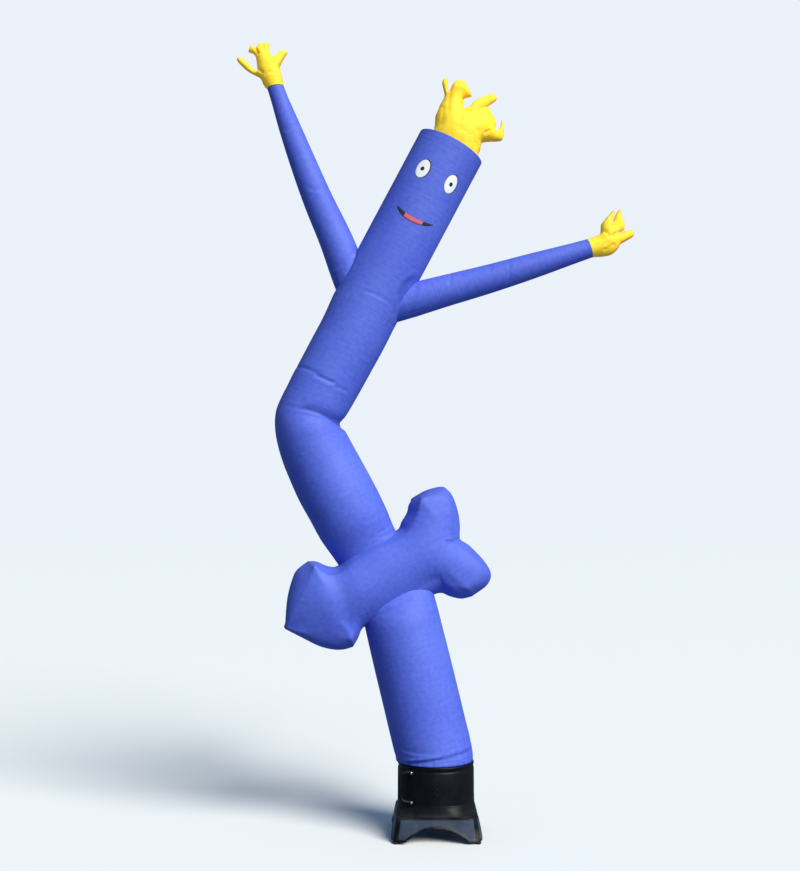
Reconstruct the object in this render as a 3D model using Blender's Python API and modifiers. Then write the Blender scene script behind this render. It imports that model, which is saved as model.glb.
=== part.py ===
"""An inflatable air dancer: a blue nylon tube figure with a face, blown up by the fan it stands on.

Metres, +Z up. The origin is on the ground under the middle of the blower. +X is to the right of
someone who faces the figure and +Y is away from them, so the face looks along -Y. Left and right
in the names are theirs. Each piece of cloth is a thin sewn skin, open where air passes through.
"""

import math

import bmesh
import bpy
from mathutils import Matrix, Vector

# Cloth and fitting
CLOTH = 0.0010
GAP = 0.0003
SADDLE_GAP = 0.0010     # where a tube's cut end meets the arrow's curved skin
TUBE_SIDES = 24
ARM_SIDES = 14
PALM_SIDES = 12
FINGER_SIDES = 8

# Blower
BARREL_RADIUS = 0.2290
BARREL_WALL = 0.005
BARREL_SIDES = 32
BARREL_CLEAR = 0.0016   # the barrel's slight flare low down, and the gap to what is bolted on
COLLAR_RADIUS = 0.2205
COLLAR_TOP = 0.458
DECK_HEIGHT = 0.148
FOOT_HEIGHT = 0.012
FOOT_OFFSET = 0.2380
FOOT_RADII = (0.016, 0.019)
BASE_WALL = 0.008
ARCH_RADIUS = 0.267
ARCH_TOP = 0.088
ARCH_LENGTH = 0.7
ARCH_SIDES = 56

# Figure
HEM_HEIGHT = 0.436
BODY_RADIUS = 0.2315
ARROW_CENTRE = Vector((-0.295, 0.0, 1.540))
ARROW_RISE = math.radians(27.5)
ARROW_TURN = math.radians(10.0)
SHOULDER = Vector((-0.436, 0.0, 3.155))
HEAD_TOP = Vector((0.095, 0.0, 4.163))
HEAD_RADIUS = 0.2130
TORSO_RADIUS = 0.2125
TORSO_OVERRUN = 0.35    # how far the arms' cutter runs below the shoulder
CAP_CROWN = 0.030
CAP_STEPS = 4
CAP_SPACE_DEPTH = 0.25  # how far the hair's cutter runs below the cap

AWAY = Vector((0.0, 1.0, 0.0))
UP_HEAD = (HEAD_TOP - SHOULDER).normalized()
ACROSS_HEAD = AWAY.cross(UP_HEAD)

# Colours
BLUE = (0.085, 0.105, 0.60, 1.0)
YELLOW = (0.95, 0.80, 0.05, 1.0)
WHITE = (0.92, 0.93, 0.95, 1.0)
BLACK = (0.012, 0.012, 0.016, 1.0)
RED = (0.80, 0.10, 0.16, 1.0)
HOUSING = (0.010, 0.010, 0.016, 1.0)
STAND = (0.050, 0.065, 0.110, 1.0)
STEEL = (0.55, 0.58, 0.62, 1.0)
RUBBER = (0.015, 0.015, 0.015, 1.0)


def clear_scene():
    """Removes the objects that a new file starts with."""
    for old in list(bpy.data.objects):
        bpy.data.objects.remove(old)


def new_collection(name):
    """A collection linked to the scene."""
    collection = bpy.data.collections.new(name)
    bpy.context.scene.collection.children.link(collection)
    return collection


def material(name, colour, roughness, metallic=0.0):
    """A Principled material of one colour, made once for each name."""
    if name in bpy.data.materials:
        return bpy.data.materials[name]
    made = bpy.data.materials.new(name)
    made.use_nodes = True
    shader = made.node_tree.nodes["Principled BSDF"]
    shader.inputs["Base Color"].default_value = colour
    shader.inputs["Roughness"].default_value = roughness
    shader.inputs["Metallic"].default_value = metallic
    return made


def blue_cloth():
    return material("blue_nylon", BLUE, 0.55)


def yellow_cloth():
    return material("yellow_nylon", YELLOW, 0.55)


def white_cloth():
    return material("white_nylon", WHITE, 0.6)


def black_cloth():
    return material("black_nylon", BLACK, 0.6)


def red_cloth():
    return material("red_nylon", RED, 0.6)


def housing_plastic():
    return material("housing_plastic", HOUSING, 0.3)


def stand_plastic():
    return material("stand_plastic", STAND, 0.4)


def bolt_steel():
    return material("bolt_steel", STEEL, 0.3, 1.0)


def foot_rubber():
    return material("foot_rubber", RUBBER, 0.8)


def add_object(name, bm, collection, finish=None):
    """Turns a bmesh into a smooth shaded object in a collection."""
    mesh = bpy.data.meshes.new(name)
    bm.to_mesh(mesh)
    bm.free()
    mesh.shade_smooth()
    mesh.set_sharp_from_angle(angle=math.radians(40))
    made = bpy.data.objects.new(name, mesh)
    collection.objects.link(made)
    if finish is None:
        made.hide_render = True
        made.display_type = "WIRE"
    else:
        mesh.materials.append(finish)
    return made


def thicken(target, thickness, offset=-1.0):
    """Gives an open sheet its thickness, inwards unless offset says otherwise."""
    solidify = target.modifiers.new("thickness", "SOLIDIFY")
    solidify.thickness = thickness
    solidify.offset = offset


def combine(target, other, operation):
    """Cuts, joins or intersects the target with another object."""
    boolean = target.modifiers.new(other.name, "BOOLEAN")
    boolean.operation = operation
    boolean.object = other


def ring(centre, across, depth, sides):
    """The points of an ellipse, from its two half axes."""
    turns = [2.0 * math.pi * i / sides for i in range(sides)]
    return [centre + across * math.cos(turn) + depth * math.sin(turn) for turn in turns]


def loft(rings, closed):
    """Joins rings to a tube, with both ends closed or open."""
    bm = bmesh.new()
    rows = [[bm.verts.new(point) for point in points] for points in rings]
    sides = len(rows[0])
    for low, high in zip(rows, rows[1:]):
        for i in range(sides):
            j = (i + 1) % sides
            bm.faces.new((low[i], low[j], high[j], high[i]))
    if closed:
        bm.faces.new(tuple(reversed(rows[0])))
        bm.faces.new(tuple(rows[-1]))
    return bm


def edge_rings(table, sides, grow=0.0):
    """Rings across a tube, each from its left and right edge as the figure is faced."""
    rings = []
    for left_x, left_z, right_x, right_z, half_depth in table:
        left = Vector((left_x, 0.0, left_z))
        right = Vector((right_x, 0.0, right_z))
        across = (right - left) * 0.5
        across += across.normalized() * grow
        rings.append(ring((left + right) * 0.5, across, AWAY * (half_depth + grow), sides))
    return rings


def path_rings(table, sides, grow=0.0):
    """Rings square to a path; each row is x, y, z, half width and half depth."""
    centres = [Vector(row[:3]) for row in table]
    rings = []
    for i, row in enumerate(table):
        before = centres[max(i - 1, 0)]
        after = centres[min(i + 1, len(table) - 1)]
        along = (after - before).normalized()
        across = AWAY.cross(along).normalized()
        depth = along.cross(across)
        rings.append(ring(centres[i], across * (row[3] + grow), depth * (row[4] + grow), sides))
    return rings


def straight_rows(start, end, radius_start, radius_end, parts):
    """Path rows along a straight round tube that may taper."""
    rows = []
    for i in range(parts + 1):
        share = i / parts
        point = start.lerp(end, share)
        radius = radius_start + (radius_end - radius_start) * share
        rows.append((*point, radius, radius))
    return rows


# Lower tube: centre x, z, lean to the left in degrees, half width, half depth
LOWER_TUBE = (
    (-0.0080, HEM_HEIGHT, 0.0, 0.2325, 0.2320),
    (-0.0090, 0.4620, 2.0, 0.2325, 0.2325),
    (-0.0210, 0.5200, 9.0, 0.2320, 0.2320),
    (-0.0457, 0.6200, 13.8, BODY_RADIUS, BODY_RADIUS),
    (-0.0890, 0.8000, 13.8, BODY_RADIUS, BODY_RADIUS),
    (-0.1380, 1.0000, 13.8, 0.2310, BODY_RADIUS),
    (-0.1870, 1.2000, 13.8, 0.2290, BODY_RADIUS),
    (-0.2360, 1.3950, 13.8, 0.2250, 0.2300),
    (-0.2720, 1.5400, 13.8, 0.2250, 0.2260),
)

# Middle tube: left edge x, z, right edge x, z, half depth
MIDDLE_TUBE = (
    (-0.494, 1.447, -0.126, 1.633, 0.216),
    (-0.549, 1.541, -0.191, 1.747, 0.219),
    (-0.610, 1.632, -0.243, 1.814, 0.222),
    (-0.696, 1.753, -0.301, 1.947, 0.224),
    (-0.763, 1.874, -0.363, 2.075, 0.225),
    (-0.831, 1.996, -0.429, 2.197, 0.225),
    (-0.886, 2.118, -0.490, 2.307, 0.225),
    (-0.928, 2.222, -0.532, 2.384, 0.228),
    (-0.953, 2.306, -0.556, 2.415, 0.232),
    (-0.969, 2.380, -0.567, 2.436, 0.236),
    (-0.977, 2.440, -0.573, 2.447, 0.234),
    (-0.978, 2.492, -0.576, 2.455, 0.222),
    (-0.972, 2.540, -0.577, 2.462, 0.206),
    (-0.958, 2.584, -0.575, 2.470, 0.203),
    (-0.936, 2.630, -0.566, 2.483, 0.214),
    (-0.905, 2.692, -0.545, 2.511, 0.216),
    (-0.874, 2.757, -0.513, 2.564, 0.208),
    (-0.834, 2.832, -0.469, 2.641, 0.212),
    (-0.759, 2.976, -0.391, 2.783, TORSO_RADIUS),
    (-0.686, 3.115, -0.316, 2.920, TORSO_RADIUS),
)
KNEE_ROWS = (9, 17)     # the rows between which the folds need closer rings

# Folds pressed into the middle tube at its knee: start x, z, end x, z, depth, half width
KNEE_FOLDS = (
    (-0.990, 2.566, -0.875, 2.547, 0.006, 0.022),
    (-0.875, 2.547, -0.732, 2.524, 0.011, 0.022),
    (-0.732, 2.524, -0.670, 2.509, 0.015, 0.022),
    (-0.670, 2.509, -0.570, 2.446, 0.018, 0.022),
    (-0.868, 2.810, -0.716, 2.752, 0.006, 0.020),
    (-0.716, 2.752, -0.609, 2.728, 0.008, 0.020),
    (-0.668, 2.722, -0.571, 2.689, 0.008, 0.018),
    (-0.571, 2.689, -0.525, 2.657, 0.008, 0.018),
)

# Arms: x, z, radius, from inside the shoulder to just short of the wrist
ARM_LEFT = (
    (-0.430, 3.135, 0.110),
    (-0.530, 3.385, 0.110),
    (-0.610, 3.594, 0.103),
    (-0.721, 3.843, 0.092),
    (-0.821, 4.093, 0.080),
    (-0.915, 4.344, 0.064),
    (-0.960, 4.470, 0.054),
)
ARM_RIGHT = (
    (-0.360, 3.157, 0.104),
    (-0.150, 3.219, 0.105),
    (0.030, 3.270, 0.098),
    (0.325, 3.351, 0.088),
    (0.621, 3.440, 0.0765),
    (0.818, 3.501, 0.065),
)

# Hands: palm edges x, z, x, z and half depth; fingers x, y, z, half width, half depth
PALM_LEFT = (
    (-1.0395, 4.5380, -0.9375, 4.5590, 0.0535),
    (-1.0650, 4.5740, -0.9390, 4.5830, 0.0580),
    (-1.0770, 4.6080, -0.9480, 4.6150, 0.0600),
    (-1.0900, 4.6460, -0.9560, 4.6490, 0.0580),
    (-1.1020, 4.6940, -0.9630, 4.6830, 0.0520),
    (-1.1040, 4.7280, -0.9850, 4.7240, 0.0420),
    (-1.0900, 4.7520, -1.0200, 4.7480, 0.0240),
)
FINGERS_LEFT = {
    "thumb": (
        (-1.060, -0.010, 4.608, 0.024, 0.024),
        (-1.121, -0.014, 4.643, 0.020, 0.020),
        (-1.168, -0.016, 4.683, 0.018, 0.018),
        (-1.208, -0.014, 4.718, 0.015, 0.015),
        (-1.222, -0.013, 4.730, 0.008, 0.008),
    ),
    "short_finger": (
        (-1.070, 0.016, 4.700, 0.030, 0.026),
        (-1.108, 0.020, 4.755, 0.025, 0.023),
        (-1.130, 0.022, 4.785, 0.022, 0.020),
        (-1.137, 0.022, 4.794, 0.014, 0.012),
    ),
    "middle_finger": (
        (-1.070, -0.014, 4.710, 0.028, 0.028),
        (-1.083, -0.018, 4.775, 0.024, 0.024),
        (-1.086, -0.018, 4.812, 0.021, 0.021),
        (-1.087, -0.018, 4.823, 0.012, 0.012),
    ),
    "ring_finger": (
        (-1.035, 0.008, 4.710, 0.027, 0.027),
        (-1.042, 0.014, 4.775, 0.023, 0.023),
        (-1.044, 0.016, 4.818, 0.020, 0.020),
        (-1.045, 0.016, 4.829, 0.012, 0.012),
    ),
    "little_finger": (
        (-1.010, 0.000, 4.672, 0.030, 0.030),
        (-0.972, -0.004, 4.720, 0.024, 0.024),
        (-0.944, -0.006, 4.762, 0.024, 0.022),
        (-0.938, -0.006, 4.771, 0.016, 0.014),
    ),
}
PALM_RIGHT = (
    (0.9330, 3.6000, 0.9680, 3.4870, 0.0585),
    (0.9670, 3.6130, 1.0030, 3.4880, 0.0620),
    (1.0080, 3.6320, 1.0520, 3.4920, 0.0620),
    (1.0230, 3.6660, 1.0920, 3.5160, 0.0580),
    (1.0400, 3.6940, 1.1180, 3.5620, 0.0500),
    (1.0660, 3.7080, 1.1320, 3.6060, 0.0400),
    (1.0900, 3.7040, 1.1280, 3.6400, 0.0240),
)
FINGERS_RIGHT = {
    "first_finger": (
        (1.040, -0.014, 3.650, 0.028, 0.028),
        (1.060, -0.020, 3.700, 0.024, 0.024),
        (1.082, -0.022, 3.742, 0.017, 0.017),
        (1.100, -0.022, 3.775, 0.007, 0.007),
    ),
    "second_finger": (
        (1.075, 0.014, 3.650, 0.028, 0.028),
        (1.106, 0.020, 3.710, 0.022, 0.022),
        (1.127, 0.022, 3.752, 0.017, 0.017),
        (1.141, 0.022, 3.784, 0.007, 0.007),
    ),
    "third_finger": (
        (1.095, -0.006, 3.625, 0.030, 0.030),
        (1.130, -0.010, 3.672, 0.026, 0.026),
        (1.146, -0.012, 3.700, 0.022, 0.022),
        (1.151, -0.012, 3.711, 0.013, 0.013),
    ),
    "thumb": (
        (1.050, 0.000, 3.545, 0.036, 0.034),
        (1.120, -0.006, 3.586, 0.028, 0.028),
        (1.172, -0.010, 3.614, 0.025, 0.025),
        (1.204, -0.012, 3.629, 0.021, 0.021),
        (1.214, -0.012, 3.634, 0.012, 0.012),
    ),
}

# Hair: the mound's edges and half depth, and its sewn fingers
HAIR_MOUND = (
    (-0.0750, 4.1700, 0.2180, 4.0160, 0.140),
    (-0.0180, 4.2650, 0.2850, 4.1060, 0.138),
    (-0.0030, 4.3250, 0.2900, 4.1720, 0.134),
    (0.0140, 4.3790, 0.2950, 4.2440, 0.122),
    (0.0420, 4.4220, 0.2700, 4.3220, 0.098),
    (0.0820, 4.4420, 0.2150, 4.3780, 0.050),
)
HAIR_FINGERS = {
    "thin_lock": (
        (0.080, -0.030, 4.400, 0.032, 0.030),
        (0.070, -0.040, 4.480, 0.020, 0.020),
        (0.062, -0.042, 4.540, 0.015, 0.015),
        (0.064, -0.040, 4.584, 0.014, 0.014),
        (0.064, -0.040, 4.592, 0.008, 0.008),
    ),
    "side_point": (
        (0.075, 0.030, 4.350, 0.040, 0.040),
        (0.046, 0.034, 4.402, 0.024, 0.024),
        (0.037, 0.034, 4.434, 0.010, 0.010),
    ),
    "hooked_lock": (
        (0.140, -0.010, 4.350, 0.058, 0.055),
        (0.138, -0.012, 4.440, 0.044, 0.042),
        (0.140, -0.014, 4.500, 0.039, 0.038),
        (0.150, -0.014, 4.540, 0.036, 0.034),
        (0.158, -0.014, 4.566, 0.020, 0.020),
    ),
    "hook_point": (
        (0.145, -0.014, 4.526, 0.034, 0.030),
        (0.176, -0.014, 4.528, 0.038, 0.031),
        (0.200, -0.014, 4.508, 0.021, 0.019),
        (0.219, -0.014, 4.491, 0.005, 0.006),
    ),
    "long_lock": (
        (0.190, 0.030, 4.320, 0.044, 0.040),
        (0.249, 0.038, 4.394, 0.030, 0.030),
        (0.305, 0.042, 4.448, 0.025, 0.025),
        (0.358, 0.042, 4.484, 0.022, 0.022),
        (0.370, 0.042, 4.492, 0.013, 0.013),
    ),
    "full_lock": (
        (0.220, -0.020, 4.280, 0.070, 0.060),
        (0.285, -0.026, 4.330, 0.062, 0.056),
        (0.335, -0.028, 4.356, 0.048, 0.044),
        (0.366, -0.028, 4.366, 0.024, 0.022),
    ),
    "curled_lock": (
        (0.235, 0.010, 4.205, 0.034, 0.034),
        (0.316, 0.012, 4.232, 0.030, 0.030),
        (0.382, 0.014, 4.258, 0.025, 0.025),
        (0.412, 0.014, 4.300, 0.019, 0.019),
        (0.421, 0.014, 4.362, 0.005, 0.005),
    ),
}

# Arrow outline, one side: distance from the tip, half width, spine's distance from the tip, half depth
ARROW = (
    (0.000, 0.000, 0.060, 0.075),
    (0.061, 0.091, 0.090, 0.100),
    (0.121, 0.176, 0.150, 0.128),
    (0.194, 0.248, 0.210, 0.152),
    (0.255, 0.285, 0.260, 0.168),
    (0.309, 0.297, 0.310, 0.180),
    (0.358, 0.273, 0.365, 0.190),
    (0.412, 0.227, 0.420, 0.200),
    (0.467, 0.208, 0.480, 0.213),
    (0.560, 0.210, 0.570, 0.232),
    (0.691, 0.218, 0.691, 0.246),
    (0.800, 0.212, 0.800, 0.238),
    (0.867, 0.217, 0.865, 0.226),
    (0.933, 0.250, 0.920, 0.214),
    (0.988, 0.287, 0.965, 0.204),
    (1.042, 0.328, 1.005, 0.194),
    (1.097, 0.347, 1.040, 0.184),
    (1.164, 0.345, 1.070, 0.174),
    (1.225, 0.322, 1.095, 0.164),
    (1.255, 0.275, 1.112, 0.156),
    (1.262, 0.218, 1.125, 0.148),
    (1.252, 0.150, 1.135, 0.140),
    (1.224, 0.070, 1.142, 0.132),
    (1.196, 0.000, 1.146, 0.126),
)
ARROW_CROSSING = 0.691
ARROW_FULLNESS = 0.86
ARROW_STEPS = 5


def leaning_rings(table, sides, grow=0.0):
    """Rings of a tube from its centre line and its lean to the left."""
    rings = []
    for x, z, lean, half_width, half_depth in table:
        turn = math.radians(lean)
        across = Vector((math.cos(turn), 0.0, math.sin(turn)))
        depth = AWAY * (half_depth + grow)
        rings.append(ring(Vector((x, 0.0, z)), across * (half_width + grow), depth, sides))
    return rings


def arm_rows(table):
    """Path rows of a round arm."""
    return [(x, 0.0, z, radius, radius) for x, z, radius in table]


def arm_rings(table, palm):
    """Rings of an arm's skin; the last is the wrist of its hand, less the seam's gap."""
    wrist_left, wrist_right = Vector((palm[0][0], 0.0, palm[0][1])), Vector((palm[0][2], 0.0, palm[0][3]))
    back = AWAY.cross(wrist_right - wrist_left).normalized() * GAP
    wrist = [point + back for point in edge_rings(palm[:1], ARM_SIDES)[0]]
    return [*path_rings(arm_rows(table), ARM_SIDES), wrist]


def arrow_skin(grow=0.0):
    """The closed outer face of the inflated arrow, crowned from its outline up to its spine."""
    along = Vector((math.cos(ARROW_RISE) * math.cos(ARROW_TURN),
                    math.cos(ARROW_RISE) * math.sin(ARROW_TURN),
                    math.sin(ARROW_RISE)))
    front = AWAY.copy()
    front.rotate(Matrix.Rotation(ARROW_TURN, 3, "Z"))
    side = along.cross(front).normalized()
    rings = []
    for edge, half_width, spine, half_depth in ARROW:
        points = []
        for step in range(4 * ARROW_STEPS):
            turn = 0.5 * math.pi * step / ARROW_STEPS
            flat = math.copysign(abs(math.cos(turn)) ** ARROW_FULLNESS, math.cos(turn))
            high = math.copysign(abs(math.sin(turn)) ** ARROW_FULLNESS, math.sin(turn))
            reach = spine + (edge - spine) * abs(flat) - ARROW_CROSSING
            wide = (half_width + grow) * flat if half_width else 0.0
            point = along * reach + side * wide + front * (half_depth + grow) * high
            points.append(ARROW_CENTRE + point)
        rings.append(points)
    bm = loft(rings, closed=False)
    bmesh.ops.remove_doubles(bm, verts=bm.verts, dist=0.0001)
    bmesh.ops.dissolve_degenerate(bm, edges=bm.edges, dist=0.0001)
    bmesh.ops.recalc_face_normals(bm, faces=bm.faces)
    return bm


def halved_rows(table, first, last):
    """A table with a row added halfway between each two rows from first to last."""
    rows = list(table[:first])
    for before, after in zip(table[first:last], table[first + 1:last + 1]):
        rows += [before, tuple((a + b) / 2 for a, b in zip(before, after))]
    return rows + list(table[last:])


def press_folds(rings, folds):
    """Presses each fold's trough into a tube, across its front and its back alike."""
    for points in rings:
        centre = sum(points, Vector()) / len(points)
        for point in points:
            here = Vector((point.x, point.z))
            press = 0.0
            for start_x, start_z, end_x, end_z, depth, half_width in folds:
                start, along = Vector((start_x, start_z)), Vector((end_x - start_x, end_z - start_z))
                share = min(max((here - start).dot(along) / along.length_squared, 0.0), 1.0)
                away = (here - start - along * share).length / half_width
                press = max(press, depth * math.exp(-away * away))
            point += (centre - point).normalized() * press


def middle_rings():
    """Rings of the middle tube, folded at the knee and ending at the shoulder seam."""
    rings = edge_rings(halved_rows(MIDDLE_TUBE, *KNEE_ROWS), TUBE_SIDES)
    press_folds(rings, KNEE_FOLDS)
    return [*rings, ring(SHOULDER, ACROSS_HEAD * TORSO_RADIUS, AWAY * TORSO_RADIUS, TUBE_SIDES)]


def make_tubes(cloth, helpers):
    """The figure's blue tubes, the arrow across them, the cap and the arms."""
    blue = blue_cloth()
    arrow_space = add_object("arrow_space", arrow_skin(SADDLE_GAP), helpers)

    lower = add_object("lower_tube", loft(leaning_rings(LOWER_TUBE, TUBE_SIDES), False), cloth, blue)
    thicken(lower, CLOTH)
    combine(lower, arrow_space, "DIFFERENCE")

    middle = add_object("middle_tube", loft(middle_rings(), False), cloth, blue)
    thicken(middle, CLOTH)
    combine(middle, arrow_space, "DIFFERENCE")

    arrow = add_object("arrow", arrow_skin(), cloth, blue)
    thicken(arrow, CLOTH)
    for name, rings in (("lower_bore", leaning_rings(LOWER_TUBE[-5:], TUBE_SIDES, -CLOTH)),
                        ("middle_bore", edge_rings(MIDDLE_TUBE[:6], TUBE_SIDES, -CLOTH))):
        combine(arrow, add_object(name, loft(rings, True), helpers), "DIFFERENCE")

    start = SHOULDER + UP_HEAD * GAP
    head_rows = straight_rows(start, HEAD_TOP, TORSO_RADIUS, HEAD_RADIUS, 4)
    head = add_object("head_tube", loft(path_rings(head_rows, TUBE_SIDES), False), cloth, blue)
    thicken(head, CLOTH)

    below = SHOULDER - UP_HEAD * TORSO_OVERRUN
    long_rows = straight_rows(below, HEAD_TOP, TORSO_RADIUS, HEAD_RADIUS, 1)
    torso_space = add_object("torso_space", loft(path_rings(long_rows, TUBE_SIDES, GAP), True), helpers)
    for side, table, palm in (("left", ARM_LEFT, PALM_LEFT), ("right", ARM_RIGHT, PALM_RIGHT)):
        arm = add_object("arm_" + side, loft(arm_rings(table, palm), False), cloth, blue)
        thicken(arm, CLOTH)
        combine(arm, torso_space, "DIFFERENCE")
        bore = loft(path_rings(arm_rows(table[:4]), ARM_SIDES, -CLOTH), True)
        combine(head, add_object("armhole_" + side, bore, helpers), "DIFFERENCE")
    make_cap(cloth, helpers)


def crown_profile(radius, crown, steps):
    """Points of a shallow dome's profile, from its middle down to its rim."""
    shares = [i / steps for i in range(steps + 1)]
    return [(radius * share, crown * (1.0 - share * share)) for share in shares]


def turned(name, profile, collection, finish, steps=TUBE_SIDES):
    """A turned shape: a profile of radius and height, swept round with Screw."""
    bm = bmesh.new()
    verts = [bm.verts.new((radius, 0.0, height)) for radius, height in profile]
    for start, end in zip(verts, verts[1:]):
        bm.edges.new((start, end))
    made = add_object(name, bm, collection, finish)
    screw = made.modifiers.new("turn", "SCREW")
    screw.steps = steps
    screw.render_steps = steps
    screw.use_merge_vertices = True
    screw.merge_threshold = 0.0001
    screw.use_smooth_shade = True
    return made


def head_matrix(height):
    """Stands a piece on the head's axis, so much above its top."""
    columns = Matrix((ACROSS_HEAD, AWAY, UP_HEAD)).transposed().to_4x4()
    return Matrix.Translation(HEAD_TOP + UP_HEAD * height) @ columns


def make_cap(cloth, helpers):
    """The crowned round panel that closes the head, and the space that the hair must leave it."""
    cap = turned("head_cap", crown_profile(HEAD_RADIUS, CAP_CROWN, CAP_STEPS), cloth, blue_cloth())
    thicken(cap, CLOTH)
    cap.matrix_world = head_matrix(CLOTH + GAP)
    space_radius = HEAD_RADIUS + GAP
    dome = crown_profile(space_radius, CAP_CROWN, CAP_STEPS)
    below = [(space_radius, -CAP_SPACE_DEPTH), (0.0, -CAP_SPACE_DEPTH)]
    space = turned("cap_space", dome + below, helpers, None)
    space.matrix_world = head_matrix(CLOTH + 2.0 * GAP)


# Share of a row's spacing by which a form's inside overruns its opening, and stops short of its top
OPENING_LEAD = 0.3
TOP_DRAWN_BACK = 0.1


def inflated_form(name, palm, fingers, finish, cloth, helpers):
    """A hollow sewn form: a palm joined to its fingers, open where the palm starts."""
    outer = add_object(name, loft(edge_rings(palm, PALM_SIDES), True), cloth, finish)
    first, second, before, last = palm[0], palm[1], palm[-2], palm[-1]
    lead = [first[i] - (second[i] - first[i]) * OPENING_LEAD for i in range(4)] + [first[4]]
    top = [last[i] - (last[i] - before[i]) * TOP_DRAWN_BACK for i in range(4)] + [last[4]]
    inside = loft(edge_rings([lead, *palm[:-1], top], PALM_SIDES, -CLOTH), True)
    inner = add_object(name + "_air", inside, helpers)
    for label, rows in fingers.items():
        skin = loft(path_rings(rows, FINGER_SIDES), True)
        combine(outer, add_object(f"{name}_{label}", skin, helpers), "UNION")
        shorter = [*rows[:-1], shorten(rows[-2], rows[-1])]
        bore = loft(path_rings(shorter, FINGER_SIDES, -CLOTH), True)
        combine(inner, add_object(f"{name}_{label}_air", bore, helpers), "UNION")
    combine(outer, inner, "DIFFERENCE")
    return outer


def shorten(before, last):
    """The last row of a finger's inside, drawn back from the fingertip by the cloth."""
    step = Vector(last[:3]) - Vector(before[:3])
    point = Vector(last[:3]) - step.normalized() * CLOTH
    return (*point, last[3], last[4])


def make_hands_and_hair(cloth, helpers):
    """The yellow hands and the tuft of hair on the cap."""
    yellow = yellow_cloth()
    inflated_form("hand_left", PALM_LEFT, FINGERS_LEFT, yellow, cloth, helpers)
    inflated_form("hand_right", PALM_RIGHT, FINGERS_RIGHT, yellow, cloth, helpers)
    hair = inflated_form("hair", HAIR_MOUND, HAIR_FINGERS, yellow, cloth, helpers)
    combine(hair, bpy.data.objects["cap_space"], "DIFFERENCE")


def head_point(angle, height, lift):
    """A point on the head's front: angle round to the right, height above the shoulder."""
    radius = HEAD_RADIUS + lift
    side = ACROSS_HEAD * radius * math.sin(angle)
    front = AWAY * -radius * math.cos(angle)
    return SHOULDER + UP_HEAD * height + side + front


# Face: the middle of the face is turned a little to the right
EYE_SIZE = (0.046, 0.061)
RIM_MARGIN = 0.005
PUPIL_RADIUS = 0.0125
LEFT_EYE_ANGLE = math.radians(-19.5)
RIGHT_EYE_ANGLE = math.radians(34.5)
EYE_HEIGHT = 0.900
PATCH = 0.001
LIFTS = (0.0010, 0.0026, 0.0042)    # undersides of the three sewn layers above the head's skin
# Smile: angle in degrees, height of the middle line, half thickness
SMILE = (
    (-29.0, 0.635, 0.002),
    (-23.0, 0.620, 0.010),
    (-17.0, 0.610, 0.014),
    (-11.0, 0.603, 0.016),
    (-2.5, 0.598, 0.017),
    (6.0, 0.597, 0.017),
    (14.5, 0.600, 0.016),
    (23.0, 0.607, 0.015),
    (29.0, 0.614, 0.013),
    (35.0, 0.623, 0.009),
    (41.0, 0.634, 0.002),
)
RED_ROWS = slice(3, 8)
RED_MARGIN = 0.002      # how far the red overlaps the black above and below


def oval_patch(name, angle, height, size, lift, finish, cloth, rings=3, sides=16):
    """An oval cut from cloth and sewn to the head, following its curve."""
    bm = bmesh.new()
    middle = bm.verts.new(head_point(angle, height, lift))
    inner = None
    for row in range(1, rings + 1):
        share = row / rings
        verts = []
        for i in range(sides):
            turn = 2.0 * math.pi * i / sides
            sweep = angle + size[0] * share * math.cos(turn) / HEAD_RADIUS
            verts.append(bm.verts.new(head_point(sweep, height + size[1] * share * math.sin(turn), lift)))
        for i in range(sides):
            j = (i + 1) % sides
            if inner is None:
                bm.faces.new((middle, verts[i], verts[j]))
            else:
                bm.faces.new((inner[i], verts[i], verts[j], inner[j]))
        inner = verts
    patch = add_object(name, bm, cloth, finish)
    thicken(patch, PATCH, 1.0)


def strip_patch(name, rows, lift, spare, finish, cloth):
    """A curved strip sewn to the head, from its middle line and half thickness."""
    bm = bmesh.new()
    lines = []
    for degrees, height, half in rows:
        angle = math.radians(degrees)
        heights = (height - half - spare, height, height + half + spare)
        lines.append([bm.verts.new(head_point(angle, level, lift)) for level in heights])
    for left, right in zip(lines, lines[1:]):
        for low in range(2):
            bm.faces.new((left[low], right[low], right[low + 1], left[low + 1]))
    strip = add_object(name, bm, cloth, finish)
    thicken(strip, PATCH, 1.0)


def make_face(cloth):
    """Eyes and mouth, each cut from cloth and sewn on in layers."""
    for side, angle in (("left", LEFT_EYE_ANGLE), ("right", RIGHT_EYE_ANGLE)):
        rim = (EYE_SIZE[0] + RIM_MARGIN, EYE_SIZE[1] + RIM_MARGIN)
        oval_patch("eye_rim_" + side, angle, EYE_HEIGHT, rim, LIFTS[0], black_cloth(), cloth)
        oval_patch("eye_white_" + side, angle, EYE_HEIGHT, EYE_SIZE, LIFTS[1], white_cloth(), cloth)
        pupil = (PUPIL_RADIUS, PUPIL_RADIUS)
        oval_patch("pupil_" + side, angle, EYE_HEIGHT, pupil, LIFTS[2], black_cloth(), cloth, 1, 10)
    strip_patch("mouth_line", SMILE, LIFTS[0], 0.0, black_cloth(), cloth)
    strip_patch("mouth_red", SMILE[RED_ROWS], LIFTS[1], RED_MARGIN, red_cloth(), cloth)


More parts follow.
